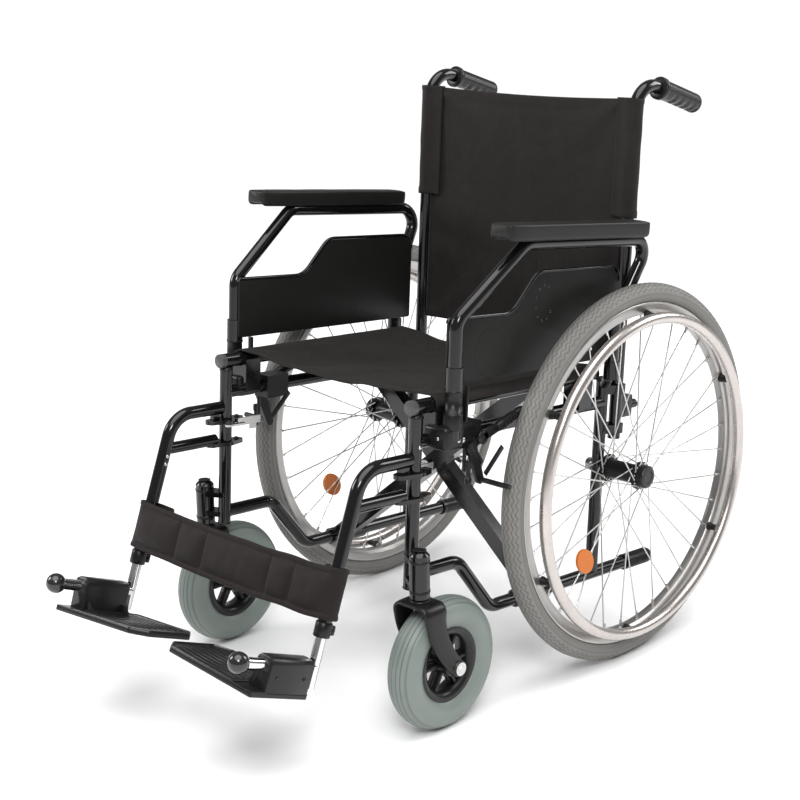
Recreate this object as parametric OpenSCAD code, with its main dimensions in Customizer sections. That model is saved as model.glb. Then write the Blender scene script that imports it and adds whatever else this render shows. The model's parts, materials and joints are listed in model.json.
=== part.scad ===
// Folding manual wheelchair: spoked rear wheels with handrims, swivelling casters, swing-away
// footrests, lift-off armrests, lever brakes and a cross-braced folding frame.
// Millimetres, +Z up. The chair faces -Y and the user's left is +X.
// Origin: middle of the footprint, on the floor.

/* [Overall] */
// Distance between the centre planes of the two side frames
frame_spacing = 410; // [340:5:500]
// Lean of the whole frame, front up, in degrees
pitch = 3.4; // [0:0.2:6]
// Outer diameter of the side frame tubes
tube_d = 20; // [18:0.5:25]
// Centreline radius of the ordinary tube bends
bend_r = 34; // [28:1:50]
// Radial clearance of every running fit
fit_gap = 0.05; // [0.01:0.01:0.1]
// Gap between soft pieces and the frame
soft_gap = 1; // [0.5:0.5:3]

/* [Side frame] */
// Distance from the rear axle forward to the front upright
wheelbase = 424; // [380:2:480]
// Height of the upper rail above the rear axle
upper_rail_h = 102; // [80:1:130]
// Depth of the lower rail below the rear axle
lower_rail_h = 180; // [150:1:200]
// Depth of the lower rail's raised front end below the rear axle
toe_rail_h = 92; // [80:1:120]
// Distance from the rear axle forward to the top of the rail's step
step_top_y = 326; // [300:2:350]
// Distance from the rear axle forward to the bottom of the rail's step
step_low_y = 248; // [230:2:280]
// Distance the lower rail reaches behind the rear axle
tip_lever_l = 150; // [90:2:200]
// Top of the front and rear uprights above the rear axle
upright_top = 137; // [125:1:145]
// Bottom of the front upright below the rear axle
upright_foot = 110; // [100:1:130]
// Length of the rubber cap on the tipping lever
tip_cap_l = 68; // [40:1:90]
// Wall of the rubber cap
tip_cap_t = 3; // [2:0.5:5]

/* [Cross brace] */
// Height of the seat rails above the rear axle
seat_rail_h = 152; // [140:1:170]
// Diameter of the seat rails
seat_rail_d = 22; // [20:0.5:26]
// Distance from the rear axle forward to the front end of the seat rails
seat_rail_front = 438; // [400:2:450]
// Distance from the rear axle forward to the rear end of the seat rails
seat_rail_rear = 24; // [16:2:60]
// Distance from the rear axle forward to the middle of the cross brace
brace_y = 153; // [120:1:190]
// Width of a brace arm across its length
brace_w = 26; // [20:1:32]
// Thickness of a brace arm
brace_t = 22; // [16:1:26]
// Gap between the two brace arms
brace_gap = 2; // [1:0.5:4]
// Length of the hinge sleeves on the lower rails
sleeve_l = 74; // [50:2:100]
// Wall of the hinge sleeves
sleeve_t = 4; // [3:0.5:6]
// Diameter of the brace's centre bolt
brace_bolt_d = 10; // [8:0.5:14]
// Length of the end plugs in the seat rails
plug_l = 8; // [4:1:12]

/* [Saddles] */
// Length of a saddle along the rail
saddle_l = 30; // [20:1:40]
// Wall of a saddle beside the seat rail
saddle_t = 4; // [3:0.5:6]
// Distance from the rear axle forward to the front saddle
saddle_front_y = 382; // [350:2:400]
// Distance from the rear axle forward to the rear saddle
saddle_rear_y = 62; // [45:1:100]

/* [Rear wheels] */
// Outer diameter of the rear tyres
wheel_d = 600; // [500:10:620]
// Width of the rear tyres
tyre_w = 34; // [24:1:40]
// Distance from the side frame's plane to the wheel's plane
wheel_offset = 65; // [60:1:80]
// Radial height of the rim
rim_h = 18; // [12:1:24]
// Width of the rim
rim_w = 24; // [18:1:30]
// Depth of the tyre's seat below the tread
tyre_h = 30; // [24:1:34]
// Wall of the rim
rim_t = 2.5; // [1.5:0.5:4]
// Number of spokes
spoke_n = 36; // [24:4:48]
// Diameter of a spoke
spoke_d = 2.2; // [1.8:0.1:3]
// Diameter of the handrim's tube
handrim_tube = 18; // [15:0.5:22]
// Gap between the wheel's plane and the handrim's plane
handrim_offset = 34; // [28:1:44]
// Diameter of the handrim along the middle of its tube
handrim_d = 500; // [440:5:520]
// Number of brackets that hold the handrim
bracket_n = 6; // [5:1:8]
// Diameter of the wheel axle
axle_d = 12; // [10:0.5:16]
// Diameter of the hub's barrel
hub_d = 30; // [24:1:36]
// Diameter of the hub's flanges
flange_d = 44; // [38:1:60]

/* [Casters] */
// Diameter of the casters
caster_d = 200; // [150:5:210]
// Diameter of the caster tyre's section
caster_w = 50; // [30:1:54]
// Distance from the side frame's plane out to the caster's plane
caster_offset = 31; // [28:1:40]
// Distance from the rear axle forward to the swivel stem
stem_y = 442; // [430:1:460]
// Trail of the caster axle behind the stem
trail = 44; // [30:1:60]
// Diameter of the swivel stem
stem_d = 12; // [10:0.5:14]
// Diameter of the swivel housing
housing_d = 29; // [26:0.5:36]
// Height of the swivel housing
housing_h = 71; // [50:1:90]
// Thickness of the fork's crown and legs
fork_t = 6; // [4:0.5:8]

/* [Backrest] */
// Distance of the back canes outside the side frame's plane
cane_out = 9; // [6:1:14]
// Distance of the back canes behind the rear axle
cane_y = 26; // [24:1:40]
// Bottom of the back canes above the rear axle
cane_foot = 42; // [30:1:60]
// Corner of the push handle above the rear axle
handle_h = 604; // [540:2:660]
// Reach of the push handle behind the rear axle
handle_reach = 181; // [150:1:210]
// Drop of the push handle's end below its corner
handle_drop = 38; // [0:1:60]
// Length of a push grip
grip_l = 104; // [90:1:130]
// Diameter of a push grip
grip_d = 31; // [27:0.5:36]
// Top of the back sling above the rear axle
back_top = 573; // [500:1:600]
// Bottom of the back sling above the rear axle
back_low = 178; // [170:1:300]
// Thickness of the slings
sling_t = 6; // [3:0.5:10]

/* [Armrests] */
// Distance of the armrest posts outside the side frame's plane
post_out = 30; // [28:1:34]
// Distance of the armrest's top tube outside the side frame's plane
arm_top_out = 43; // [34:1:50]
// Distance from the rear axle forward to the front post
post_front_y = 382; // [360:1:395]
// Distance from the rear axle forward to the rear post
post_rear_y = 20; // [14:1:40]
// Top tube's height at its front bend above the rear axle
arm_front_h = 374; // [340:1:400]
// Top tube's height at its rear bend above the rear axle
arm_rear_h = 362; // [330:1:390]
// Length of the armrest pads
pad_l = 324; // [250:2:360]
// Width of the armrest pads
pad_w = 45; // [38:1:60]
// Thickness of the armrest pads
pad_t = 21; // [14:1:30]
// Thickness of the side panels
panel_t = 5; // [3:0.5:8]
// Bottom of the side panels above the rear axle
panel_low = 180; // [170:1:200]
// Outer diameter of the armrest sockets
socket_d = 24; // [23:0.5:27]

/* [Footrests] */
// Height of the hanger's top tube above the rear axle
hanger_h = 78; // [70:1:82]
// Height of the hanger's strut above the rear axle
strut_h = 28; // [20:1:40]
// Distance from the rear axle forward to the hanger's bend
hanger_y = 527; // [510:1:560]
// Forward lean of the hanger's lower tube, in degrees
hanger_lean = 17.3; // [8:0.1:22]
// Length of the hanger's lower tube, from bend to open end
hanger_l = 231; // [200:1:260]
// Diameter of the strut
strut_d = 18; // [14:0.5:20]
// Diameter of the sliding foot tube
foot_tube_d = 16; // [14:0.5:17]
// Distance from the hanger's bend to the footplate's hinge bar
foot_bar_at = 274; // [265:1:300]
// Length of the hinge bar, from the foot tube to the middle of its knob
foot_bar_l = 139; // [120:1:160]
// Diameter of the hinge bar
foot_bar_d = 17; // [14:0.5:20]
// Diameter of the knob on the hinge bar
knob_d = 30; // [22:1:36]
// Length of the footplate's hinge block
block_l = 81; // [70:1:100]
// Width of the hinge block
block_w = 34; // [28:1:40]
// Reach of the footplate inward from its hinge bar
plate_reach = 172; // [120:1:185]
// Thickness of the footplate
plate_t = 9; // [6:0.5:12]
// Tilt of the footplate, inner edge up, in degrees
plate_tilt = 4; // [0:0.5:8]
// Length of the silver release strip
release_l = 46; // [36:1:60]
// Height of the release strip
release_h = 12; // [8:1:16]
// Thickness of the release strip
release_t = 3; // [2:0.5:4]
// Height of the calf strap
strap_h = 73; // [50:1:110]
// Thickness of the calf strap
strap_t = 8; // [4:0.5:12]

/* [Brakes] */
// Distance from the rear axle forward to the brake clamp
brake_y = 328; // [320:1:345]
// Length of the brake clamp along the rail
brake_l = 44; // [36:1:46]
// Distance from the rear axle forward to the brake bar
shoe_y = 312; // [308:0.5:318]
// Height of the brake bar above the rear axle
shoe_h = 35; // [30:1:45]
// Diameter of the brake bar
shoe_d = 8; // [6:0.5:10]
// Length of the brake lever, from pivot to tip
lever_l = 92; // [80:1:120]
// Rise of the brake lever at rest, in degrees
lever_rise = 18; // [10:1:25]

/* [Hidden] */
$fn = 48;

black = [0.04, 0.04, 0.045];
cloth = [0.09, 0.08, 0.08];
steel = [0.75, 0.75, 0.77];
silver = [0.8, 0.79, 0.77];
grey_tyre = [0.62, 0.61, 0.59];
green_tyre = [0.5, 0.55, 0.53];
champagne = [0.76, 0.73, 0.7];
orange = [0.9, 0.45, 0.02];

// Side planes and main places
frame_x = frame_spacing / 2;
axle_h = wheel_d / 2;
front_y = -wheelbase;
wheel_x = frame_x + wheel_offset;
handrim_x = wheel_x + handrim_offset;
caster_x = frame_x + caster_offset;
post_x = frame_x + post_out;
arm_x = frame_x + arm_top_out;
cane_x = frame_x + cane_out;
tube_r = tube_d / 2;
bore_d = tube_d + 2 * fit_gap;
clear_gap = 0.3 * soft_gap;

// Rear wheel rings, as radii
tyre_in = wheel_d / 2 - tyre_h;
rim_in = tyre_in - rim_h;
tyre_mid = wheel_d / 2 - tyre_w / 2;

// Cross brace: each arm runs from a lower rail up to the opposite seat rail
brace_rise = seat_rail_h + lower_rail_h;
brace_angle = atan2(brace_rise, frame_spacing);
brace_l = norm([brace_rise, frame_spacing]);
brace_mid_z = (seat_rail_h - lower_rail_h) / 2;
arm_shift = (brace_t + brace_gap) / 2;
sleeve_d = tube_d + 2 * sleeve_t;

// Hanger and foot: directions of the lower tube and of the hinge bar, in the frame's axes
down_dir = [0, -sin(hanger_lean), -cos(hanger_lean)];
bar_dir = [0, -cos(hanger_lean), sin(hanger_lean)];
hanger_corner = [frame_x, -hanger_y, hanger_h];
hanger_end = hanger_corner + down_dir * hanger_l;
foot_joint = hanger_corner + down_dir * foot_bar_at;
foot_reach_y = -(foot_joint + bar_dir * foot_bar_l)[1];
foot_drop_z = (foot_joint + bar_dir * foot_bar_l)[2];

// Footprint: the knob is foremost and the rear tyre is rearmost
front_most = -foot_reach_y * cos(pitch) + foot_drop_z * sin(pitch) - knob_d / 2;
shift_y = -(front_most + wheel_d / 2) / 2;

// Vector helpers
function unit(v) = v / norm(v);
function across(u, v) = unit(v - (v * u) * u);
function angle_between(u, v) = acos(u * v);

// Outline helpers: points are [x, y, corner radius]
corner_steps = 5;
function corner(a, b, c, r) =
    let (u = unit(a - b), v = unit(c - b), half = angle_between(u, v) / 2,
         o = b + unit(u + v) * r / sin(half), s = b + u * r / tan(half) - o,
         e = b + v * r / tan(half) - o, from = atan2(s[1], s[0]),
         turn = (atan2(e[1], e[0]) - from + 540) % 360 - 180)
    [for (k = [0 : corner_steps])
        o + r * [cos(from + turn * k / corner_steps), sin(from + turn * k / corner_steps)]];
function flat(p) = [p[0], p[1]];
function rounded(pts) =
    [for (i = [0 : len(pts) - 1])
        let (n = len(pts), a = flat(pts[(i + n - 1) % n]), b = flat(pts[i]), c = flat(pts[(i + 1) % n]))
        each (pts[i][2] > 0 ? corner(a, b, c, pts[i][2]) : [b])];

// Places a shape in the leaning frame, whose origin is the rear axle
module leaning() {
    translate([0, shift_y, axle_h]) rotate([-pitch, 0, 0]) children();
}

// Places a shape in upright axes with the rear axle's foot as origin
module upright() {
    translate([0, shift_y, 0]) children();
}

// The left side as modelled, or its mirror image
module on_side(side) {
    if (side > 0) children();
    else mirror([1, 0, 0]) children();
}

// A round bar between two points
module bar(p, q, d) {
    v = q - p;
    translate(p) rotate([0, acos(v[2] / norm(v)), atan2(v[1], v[0])]) cylinder(h = norm(v), d = d);
}

// Direction of segment k of a route, and how far its straight part gives way to a bend at each end
function heading(pts, k) = unit(pts[k + 1] - pts[k]);
function turn_at(pts, k) = angle_between(heading(pts, k - 1), heading(pts, k));
function bend_cut(pts, k, r) = k < 1 || k > len(pts) - 2 ? 0 : r * tan(turn_at(pts, k) / 2);
function sideways_at(pts, k) = across(heading(pts, k - 1), heading(pts, k));
function roll_at(pts, k) =
    k < 2 ? 0 :
    let (u = heading(pts, k - 1), x = unit(-across(u, heading(pts, k - 2))), w = sideways_at(pts, k))
    atan2(w * cross(u, x), w * x);

// A bend is a hair thicker than the straight tube, and the straights run a little way into it
bend_swell = 0.12;
bend_lap = 1;

// Segment k of a bent tube along +Z from the origin, followed by its bend towards +X and the rest
module tube_from(pts, k, d, r) {
    run = norm(pts[k + 1] - pts[k]) - bend_cut(pts, k, r) - bend_cut(pts, k + 1, r);
    first = k == 0 ? 0 : bend_lap;
    last = k == len(pts) - 2 ? 0 : bend_lap;
    translate([0, 0, -first]) cylinder(h = run + first + last, d = d);
    if (k < len(pts) - 2) {
        turn = turn_at(pts, k + 1);
        translate([0, 0, run]) rotate(roll_at(pts, k + 1)) translate([r, 0, 0]) {
            rotate([90, 0, 180]) rotate_extrude(angle = turn) translate([r, 0]) circle(d = d + bend_swell);
            rotate([0, turn, 0]) translate([-r, 0, 0]) tube_from(pts, k + 1, d, r);
        }
    }
}

// A bent tube along corner points, with one bend radius
module bent_tube(pts, d, r) {
    z = heading(pts, 0);
    x = sideways_at(pts, 1);
    y = cross(z, x);
    p = pts[0];
    multmatrix([[x[0], y[0], z[0], p[0]], [x[1], y[1], z[1], p[1]], [x[2], y[2], z[2], p[2]], [0, 0, 0, 1]])
        tube_from(pts, 0, d, r);
}

// A flat link around two round ends, lying in the XY plane
module link(a, ra, b, rb, t) {
    v = b - a;
    heading = atan2(v[1], v[0]);
    flare = acos((ra - rb) / norm(v));
    function tip(c, r, s) = c + r * [cos(heading + s * flare), sin(heading + s * flare)];
    linear_extrude(t) {
        translate(a) circle(ra);
        translate(b) circle(rb);
        polygon([tip(a, ra, 1), tip(b, rb, 1), tip(b, rb, -1), tip(a, ra, -1)]);
    }
}

// Turns a shape drawn in XY so that X runs along Y, Y along Z, and its thickness along X
module sideways(x) {
    translate([x, 0, 0]) multmatrix([[0, 0, 1, 0], [1, 0, 0, 0], [0, 1, 0, 0], [0, 0, 0, 1]]) children();
}

// Turns a ring drawn about Z so that it stands about the X axis
module wheelwise(x) {
    translate([x, 0, 0]) rotate([0, 90, 0]) children();
}

// ---- Side frame ----

housing_low = 212;
housing_bore_d = stem_d + 2 * fit_gap;
dome_h = 8;
bracket_t = 8;
bracket_low_z = 226;
bracket_high_z = 258;
bracket_foot_y = -428;

function lower_rail() = [
    [frame_x, front_y, -toe_rail_h], [frame_x, -step_top_y, -toe_rail_h],
    [frame_x, -step_low_y, -lower_rail_h], [frame_x, tip_lever_l, -lower_rail_h]
];

module dome(d, h) {
    r = (d * d / 4 + h * h) / (2 * h);
    intersection() {
        translate([0, 0, h - r]) sphere(r);
        cylinder(h = h, d = d);
    }
}

module swivel_housing() {
    translate([caster_x, -stem_y, housing_low]) {
        cylinder(h = housing_h - dome_h, d = housing_d);
        translate([0, 0, housing_h - dome_h]) dome(housing_d, dome_h);
    }
    for (z = [bracket_low_z, bracket_high_z])
        translate([0, 0, z])
            link([caster_x, -stem_y], housing_d / 2 - 1, [frame_x, bracket_foot_y], tube_r, bracket_t);
}

saddle_w = seat_rail_d + 2 * (saddle_t + 1);
saddle_slot = seat_rail_d + 2;

module saddle(y) {
    difference() {
        translate([frame_x - saddle_w / 2, -y - saddle_l / 2, upper_rail_h])
            cube([saddle_w, saddle_l, seat_rail_h - upper_rail_h]);
        translate([frame_x, -y - saddle_l, seat_rail_h]) rotate([-90, 0, 0])
            cylinder(h = 2 * saddle_l, d = saddle_slot);
    }
}

socket_low = upper_rail_h + 3;
socket_top = socket_low + 71;
panel_fall = 3;
rear_socket_top = panel_low - panel_fall - 2;
rear_socket_low = rear_socket_top - 28;
socket_web_t = 22;
socket_web_h = 26;

cane_bracket_r = 14;
cane_bracket_low = 52;
cane_bracket_high = 116;
cane_bracket_h = 14;

module cane_brackets() {
    for (z = [cane_bracket_low, cane_bracket_high])
        translate([0, 0, z]) link([cane_x, cane_y], cane_bracket_r, [frame_x, 0], tube_r, cane_bracket_h);
}

module armrest_sockets() {
    translate([post_x, -post_front_y, socket_low]) cylinder(h = socket_top - socket_low, d = socket_d);
    translate([frame_x, -post_front_y - socket_web_t / 2, socket_low - socket_web_h / 2])
        cube([post_out, socket_web_t, socket_web_h]);
    translate([post_x, -post_rear_y, rear_socket_low])
        cylinder(h = rear_socket_top - rear_socket_low, d = socket_d);
    bar([frame_x, 0, upright_top - tube_r], [post_x, -post_rear_y, rear_socket_low + tube_r], tube_d * 0.7);
}

module side_frame(side) {
    color(black) on_side(side) difference() {
        union() {
            leaning() {
                bar([frame_x, front_y, -upright_foot], [frame_x, front_y, upright_top], tube_d);
                bar([frame_x, 0, -lower_rail_h], [frame_x, 0, upright_top], tube_d);
                bar([frame_x, front_y, upper_rail_h], [frame_x, 0, upper_rail_h], tube_d);
                bent_tube(lower_rail(), tube_d, bend_r);
                saddle(saddle_front_y);
                saddle(saddle_rear_y);
                armrest_sockets();
                cane_brackets();
            }
            upright() swivel_housing();
        }
        upright() translate([caster_x, -stem_y, housing_low - 1])
            cylinder(h = stem_l + 1.5, d = housing_bore_d);
        leaning() {
            for (y = [post_front_y, post_rear_y])
                translate([post_x, -y, 0]) cylinder(h = axle_h, d = bore_d);
            wheelwise(frame_x - tube_d) cylinder(h = 2 * tube_d, d = axle_d);
            translate([cane_x, cane_y, 0]) cylinder(h = axle_h, d = tube_d);
        }
    }
}

module tip_cap(side) {
    color(black) on_side(side) leaning()
        translate([frame_x, tip_lever_l - tip_cap_l + tip_cap_t, -lower_rail_h]) rotate([-90, 0, 0])
            difference() {
                cylinder(h = tip_cap_l, d = tube_d + 2 * tip_cap_t);
                translate([0, 0, -1]) cylinder(h = tip_cap_l - tip_cap_t + 1, d = tube_d);
            }
}

// ---- Backrest ----

handle_bend_r = 42;
cane_corner = [cane_x, cane_y, handle_h];
cane_end = [cane_x, handle_reach, handle_h - handle_drop];
clamp_w = 14;
clamp_l = 34;
clamp_z = 92;
clamp_knob_d = 15;
clamp_knob_l = 14;

module back_cane(side) {
    color(black) on_side(side) leaning() {
        bent_tube([[cane_x, cane_y, cane_foot], cane_corner, cane_end], tube_d, handle_bend_r);
        translate([cane_x - clamp_w / 2, cane_y, clamp_z - clamp_l / 2]) cube([clamp_w, clamp_l, clamp_l]);
        bar([cane_x, cane_y + clamp_l, clamp_z], [cane_x, cane_y + clamp_l + clamp_knob_l, clamp_z],
            clamp_knob_d);
    }
}

grip_end_t = 4;
grip_flange = 3;

module push_grip(side) {
    v = unit(cane_end - cane_corner);
    start = cane_end - v * (grip_l - grip_end_t);
    color(black) on_side(side) leaning() difference() {
        union() {
            bar(start, start + v * grip_l, grip_d);
            bar(start, start + v * grip_end_t, grip_d + 2 * grip_flange);
        }
        bar(start - v, cane_end, tube_d);
    }
}

// ---- Casters ----

stem_l = 58;
caster_r = caster_d / 2;
caster_hub_r = 16;
caster_seat_r = caster_r - caster_w + 6;
caster_axle_d = 10;
leg_gap = 2.5;
leg_x = caster_w / 2 + leg_gap;
crown_z = housing_low - 1;
leg_top_r = 21;
leg_foot_r = 13;
washer_d = 20;

module caster_fork(side) {
    leg_top_z = crown_z - leg_top_r;
    color(black) on_side(side) upright() translate([caster_x, -stem_y, 0]) difference() {
        union() {
            cylinder(h = housing_low + stem_l, d = stem_d);
            translate([-leg_x - fork_t, -leg_top_r, crown_z - fork_t - 1])
                cube([2 * (leg_x + fork_t), 2 * leg_top_r, fork_t + 1]);
            for (x = [-leg_x - fork_t, leg_x])
                sideways(x) link([0, leg_top_z], leg_top_r, [trail, caster_r], leg_foot_r, fork_t);
        }
        translate([-leg_x, -caster_d, 0]) cube([2 * leg_x, 2 * caster_d, crown_z - fork_t - 1]);
        translate([0, trail, caster_r]) wheelwise(-leg_x - 2 * fork_t)
            cylinder(h = 2 * leg_x + 4 * fork_t, d = caster_axle_d);
    }
}

module caster_axle(side) {
    color(steel) on_side(side) upright() translate([caster_x, trail - stem_y, caster_r]) {
        reach = leg_x + fork_t;
        wheelwise(-reach - fork_t) cylinder(h = 2 * (reach + fork_t), d = caster_axle_d);
        for (x = [-reach - fork_t, reach])
            wheelwise(x) cylinder(h = fork_t, d = washer_d);
    }
}

caster_spoke_n = 6;
caster_spoke_t = 8;
caster_lip = 6;

module caster_rim(side) {
    w = caster_w * 0.6;
    color(black) on_side(side) upright() translate([caster_x, trail - stem_y, caster_r]) wheelwise(0)
        difference() {
            union() {
                difference() {
                    cylinder(h = w, r = caster_seat_r, center = true);
                    cylinder(h = w + 2, r = caster_seat_r - caster_lip, center = true);
                }
                cylinder(h = 2 * leg_x - 2, r = caster_hub_r, center = true);
                for (k = [0 : caster_spoke_n - 1])
                    rotate(k * 360 / caster_spoke_n)
                        translate([caster_hub_r - 3, -caster_spoke_t / 2, -w / 4])
                            cube([caster_seat_r - caster_hub_r - 1, caster_spoke_t, w / 2]);
            }
            cylinder(h = caster_w * 2, d = caster_axle_d + 2 * fit_gap, center = true);
        }
}

module caster_tyre(side) {
    color(green_tyre) on_side(side) upright() translate([caster_x, trail - stem_y, caster_r]) wheelwise(0)
        difference() {
            rotate_extrude($fn = 96) translate([caster_r - caster_w / 2, 0]) circle(d = caster_w);
            cylinder(h = caster_w * 2, r = caster_seat_r, center = true);
        }
}

// ---- Rear wheels ----

hub_in = frame_x + tube_r + 6;
hub_out = handrim_x - 14;
flange_t = 4;
hub_cap_l = 12;
hub_cap_d = 36;
flange_in_x = hub_in + 4;
flange_out_x = wheel_x + 16;
nut_l = 8;
nut_d = 18;

module rear_axle(side) {
    color(steel) on_side(side) leaning() {
        wheelwise(frame_x - tube_r - nut_l) cylinder(h = hub_out - frame_x + tube_r + nut_l, d = axle_d);
        wheelwise(frame_x - tube_r - nut_l) cylinder(h = nut_l, d = nut_d);
        wheelwise(frame_x + tube_r) cylinder(h = hub_in - frame_x - tube_r - 0.5, d = nut_d);
    }
}

module rear_hub(side) {
    color(black) on_side(side) leaning() difference() {
        union() {
            wheelwise(hub_in) cylinder(h = hub_out - hub_in, d = hub_d);
            wheelwise(flange_in_x) cylinder(h = flange_t, d = flange_d);
            wheelwise(flange_out_x) cylinder(h = flange_t, d = flange_d);
            wheelwise(hub_out - 2) cylinder(h = hub_cap_l + 2, d = hub_cap_d);
        }
        wheelwise(hub_in - 1) cylinder(h = hub_out + 1.5 - hub_in, d = axle_d + 2 * fit_gap);
    }
}

// Spokes leave the hub off-centre, alternately leading and trailing, from both flanges
spoke_lead = 62;
spoke_hub_r = flange_d / 2 - 4;
spoke_weave = 0.9;
spoke_bite = 2;

module rear_spokes(side) {
    color(steel) on_side(side) leaning()
        for (k = [0 : spoke_n - 1]) {
            out = k % 2;
            lead = floor(k / 2) % 2 == 0 ? 1 : -1;
            at_rim = k * 360 / spoke_n;
            at_hub = at_rim + lead * spoke_lead;
            x_hub = (out == 1 ? flange_out_x : flange_in_x)
                + flange_t / 2 + lead * (flange_t / 2 + spoke_weave);
            bar([x_hub, spoke_hub_r * cos(at_hub), spoke_hub_r * sin(at_hub)],
                [wheel_x, (rim_in + spoke_bite) * cos(at_rim), (rim_in + spoke_bite) * sin(at_rim)],
                spoke_d, $fn = 16);
        }
}

module rear_rim(side) {
    half = rim_w / 2;
    well = rim_h * 0.4;
    color(silver) on_side(side) leaning() wheelwise(wheel_x)
        rotate_extrude($fn = 96) polygon([
            [rim_in, -half * 0.5], [rim_in, half * 0.5], [rim_in + well, half], [tyre_in, half],
            [tyre_in, half - rim_t], [rim_in + well, half - rim_t], [rim_in + rim_t, half * 0.4],
            [rim_in + rim_t, -half * 0.4], [rim_in + well, rim_t - half], [tyre_in, rim_t - half],
            [tyre_in, -half], [rim_in + well, -half]
        ]);
}

module rear_tyre(side) {
    color(grey_tyre) on_side(side) leaning() wheelwise(wheel_x) difference() {
        rotate_extrude($fn = 96) translate([tyre_mid, 0]) circle(d = tyre_w);
        cylinder(h = 2 * tyre_w, r = tyre_in, center = true);
    }
}

handrim_bracket_d = 9;

module handrim(side) {
    color(champagne) on_side(side) leaning() {
        wheelwise(handrim_x) rotate_extrude($fn = 96) translate([handrim_d / 2, 0])
            circle(d = handrim_tube);
        for (k = [0 : bracket_n - 1]) {
            a = (k + 0.5) * 360 / bracket_n;
            spot = [0, cos(a), sin(a)];
            bar([wheel_x + rim_w * 0.35, 0, 0] + spot * (rim_in + 1), [handrim_x, 0, 0]
                + spot * handrim_d / 2,
                handrim_bracket_d);
        }
    }
}

reflector_l = 46;
reflector_h = 34;
reflector_t = 4;
reflector_r = 166;
reflector_at = 225;

module reflector(side) {
    spot = reflector_r * [0, cos(reflector_at), sin(reflector_at)];
    color(orange) on_side(side) leaning() translate(spot) wheelwise(wheel_x + 8)
        rotate(90 - reflector_at) linear_extrude(reflector_t)
            polygon([for (a = [0 : 12 : 348]) [reflector_l / 2 * cos(a), reflector_h / 2 * sin(a)]]);
}

// ---- Brakes ----

brake_in = 14;
brake_out = 17;
brake_block_h = 36;
cheek_t = 4;
cheek_x = frame_x + brake_out;
lever_x = frame_x + 33;
lever_pivot = [0, -brake_y + 8, upper_rail_h - 2];
shoe_pivot = [0, -brake_y - 4, upper_rail_h - 18];
pin_d = 7;
lever_w = 6;
lever_grip_d = 17;
shoe_arm_w = 5;
lever_in = lever_x - lever_w / 2;
shoe_arm_x = cheek_x + cheek_t + 0.5;
adjuster_d = 6;
adjuster_l = 34;

module brake_clamp(side) {
    color(black) on_side(side) leaning() {
        difference() {
            translate([frame_x - brake_in, -brake_y - brake_l / 2, upper_rail_h - brake_block_h / 2])
                cube([brake_in + brake_out, brake_l, brake_block_h]);
            bar([frame_x, -wheelbase, upper_rail_h], [frame_x, 0, upper_rail_h], tube_d);
        }
        sideways(cheek_x) link([lever_pivot[1], lever_pivot[2]], 13, [shoe_pivot[1] + 2, shoe_pivot[2]],
            13, cheek_t);
        wheelwise(cheek_x) translate([-lever_pivot[2], lever_pivot[1], 0])
            cylinder(h = lever_in + lever_w - cheek_x, d = pin_d);
        wheelwise(cheek_x) translate([-shoe_pivot[2], shoe_pivot[1], 0])
            cylinder(h = shoe_arm_x + shoe_arm_w - cheek_x, d = pin_d);
        bar([cheek_x + 1, -brake_y - 12, shoe_pivot[2]],
            [cheek_x + 1, -brake_y - 12, shoe_pivot[2] - adjuster_l], adjuster_d);
    }
}

module brake_lever(side) {
    tip = lever_pivot + lever_l * [0, cos(lever_rise), sin(lever_rise)];
    neck = lever_pivot + lever_l * 0.35 * [0, cos(lever_rise), sin(lever_rise)];
    color(black) on_side(side) leaning() difference() {
        union() {
            sideways(lever_in) link([lever_pivot[1], lever_pivot[2]], 10, [neck[1], neck[2]], 7, lever_w);
            bar([lever_x, neck[1], neck[2]], [lever_x, tip[1], tip[2]], lever_grip_d);
        }
        wheelwise(lever_in - 1) translate([-lever_pivot[2], lever_pivot[1], 0])
            cylinder(h = lever_w + 2, d = pin_d + 2 * fit_gap);
    }
}

shoe_reach = wheel_x + tyre_w / 2;

module brake_bar(side) {
    color(steel) on_side(side) leaning() difference() {
        union() {
            sideways(shoe_arm_x)
                link([shoe_pivot[1], shoe_pivot[2]], 9, [-shoe_y, shoe_h], 7, shoe_arm_w);
            bar([shoe_arm_x, -shoe_y, shoe_h], [shoe_reach, -shoe_y, shoe_h], shoe_d);
        }
        wheelwise(shoe_arm_x - 1) translate([-shoe_pivot[2], shoe_pivot[1], 0])
            cylinder(h = shoe_arm_w + 2, d = pin_d + 2 * fit_gap);
    }
}

// ---- Armrests ----

post_top = 273;
rear_post_top = 240;
arm_front_y = 258;
arm_rear_y = 42;
collar_h = 32;
collar_d = 25;

function armrest_route() = [
    [post_x, -post_front_y, socket_low], [post_x, -post_front_y, post_top],
    [arm_x, -arm_front_y, arm_front_h], [arm_x, arm_rear_y, arm_rear_h],
    [post_x, -post_rear_y, rear_post_top], [post_x, -post_rear_y, rear_socket_low]
];

module armrest_frame(side) {
    color(black) on_side(side) leaning() {
        bent_tube(armrest_route(), tube_d, bend_r * 0.8);
        translate([post_x, -post_front_y, socket_top + clear_gap]) cylinder(h = collar_h, d = collar_d);
    }
}

pad_out = 52;
pad_set = 45;
pad_fall = atan2(arm_front_h - arm_rear_h, arm_front_y + arm_rear_y);

module armrest_pad(side) {
    half = pad_w / 2;
    color(cloth) on_side(side) leaning()
        translate([frame_x + pad_out, arm_rear_y, arm_rear_h]) rotate([-pad_fall, 0, 0])
            translate([0, -pad_set, tube_r + clear_gap]) linear_extrude(pad_t)
                polygon(rounded([[-half, -pad_l, 8], [half, -pad_l, 8], [half, 0, 6], [-half, 0, 6]]));
}

panel_x = post_x - tube_r - panel_t;
panel_step_y = -250;
panel_crest_y = -196;
panel_crest_h = 327;
panel_rear_y = 2;

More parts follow.
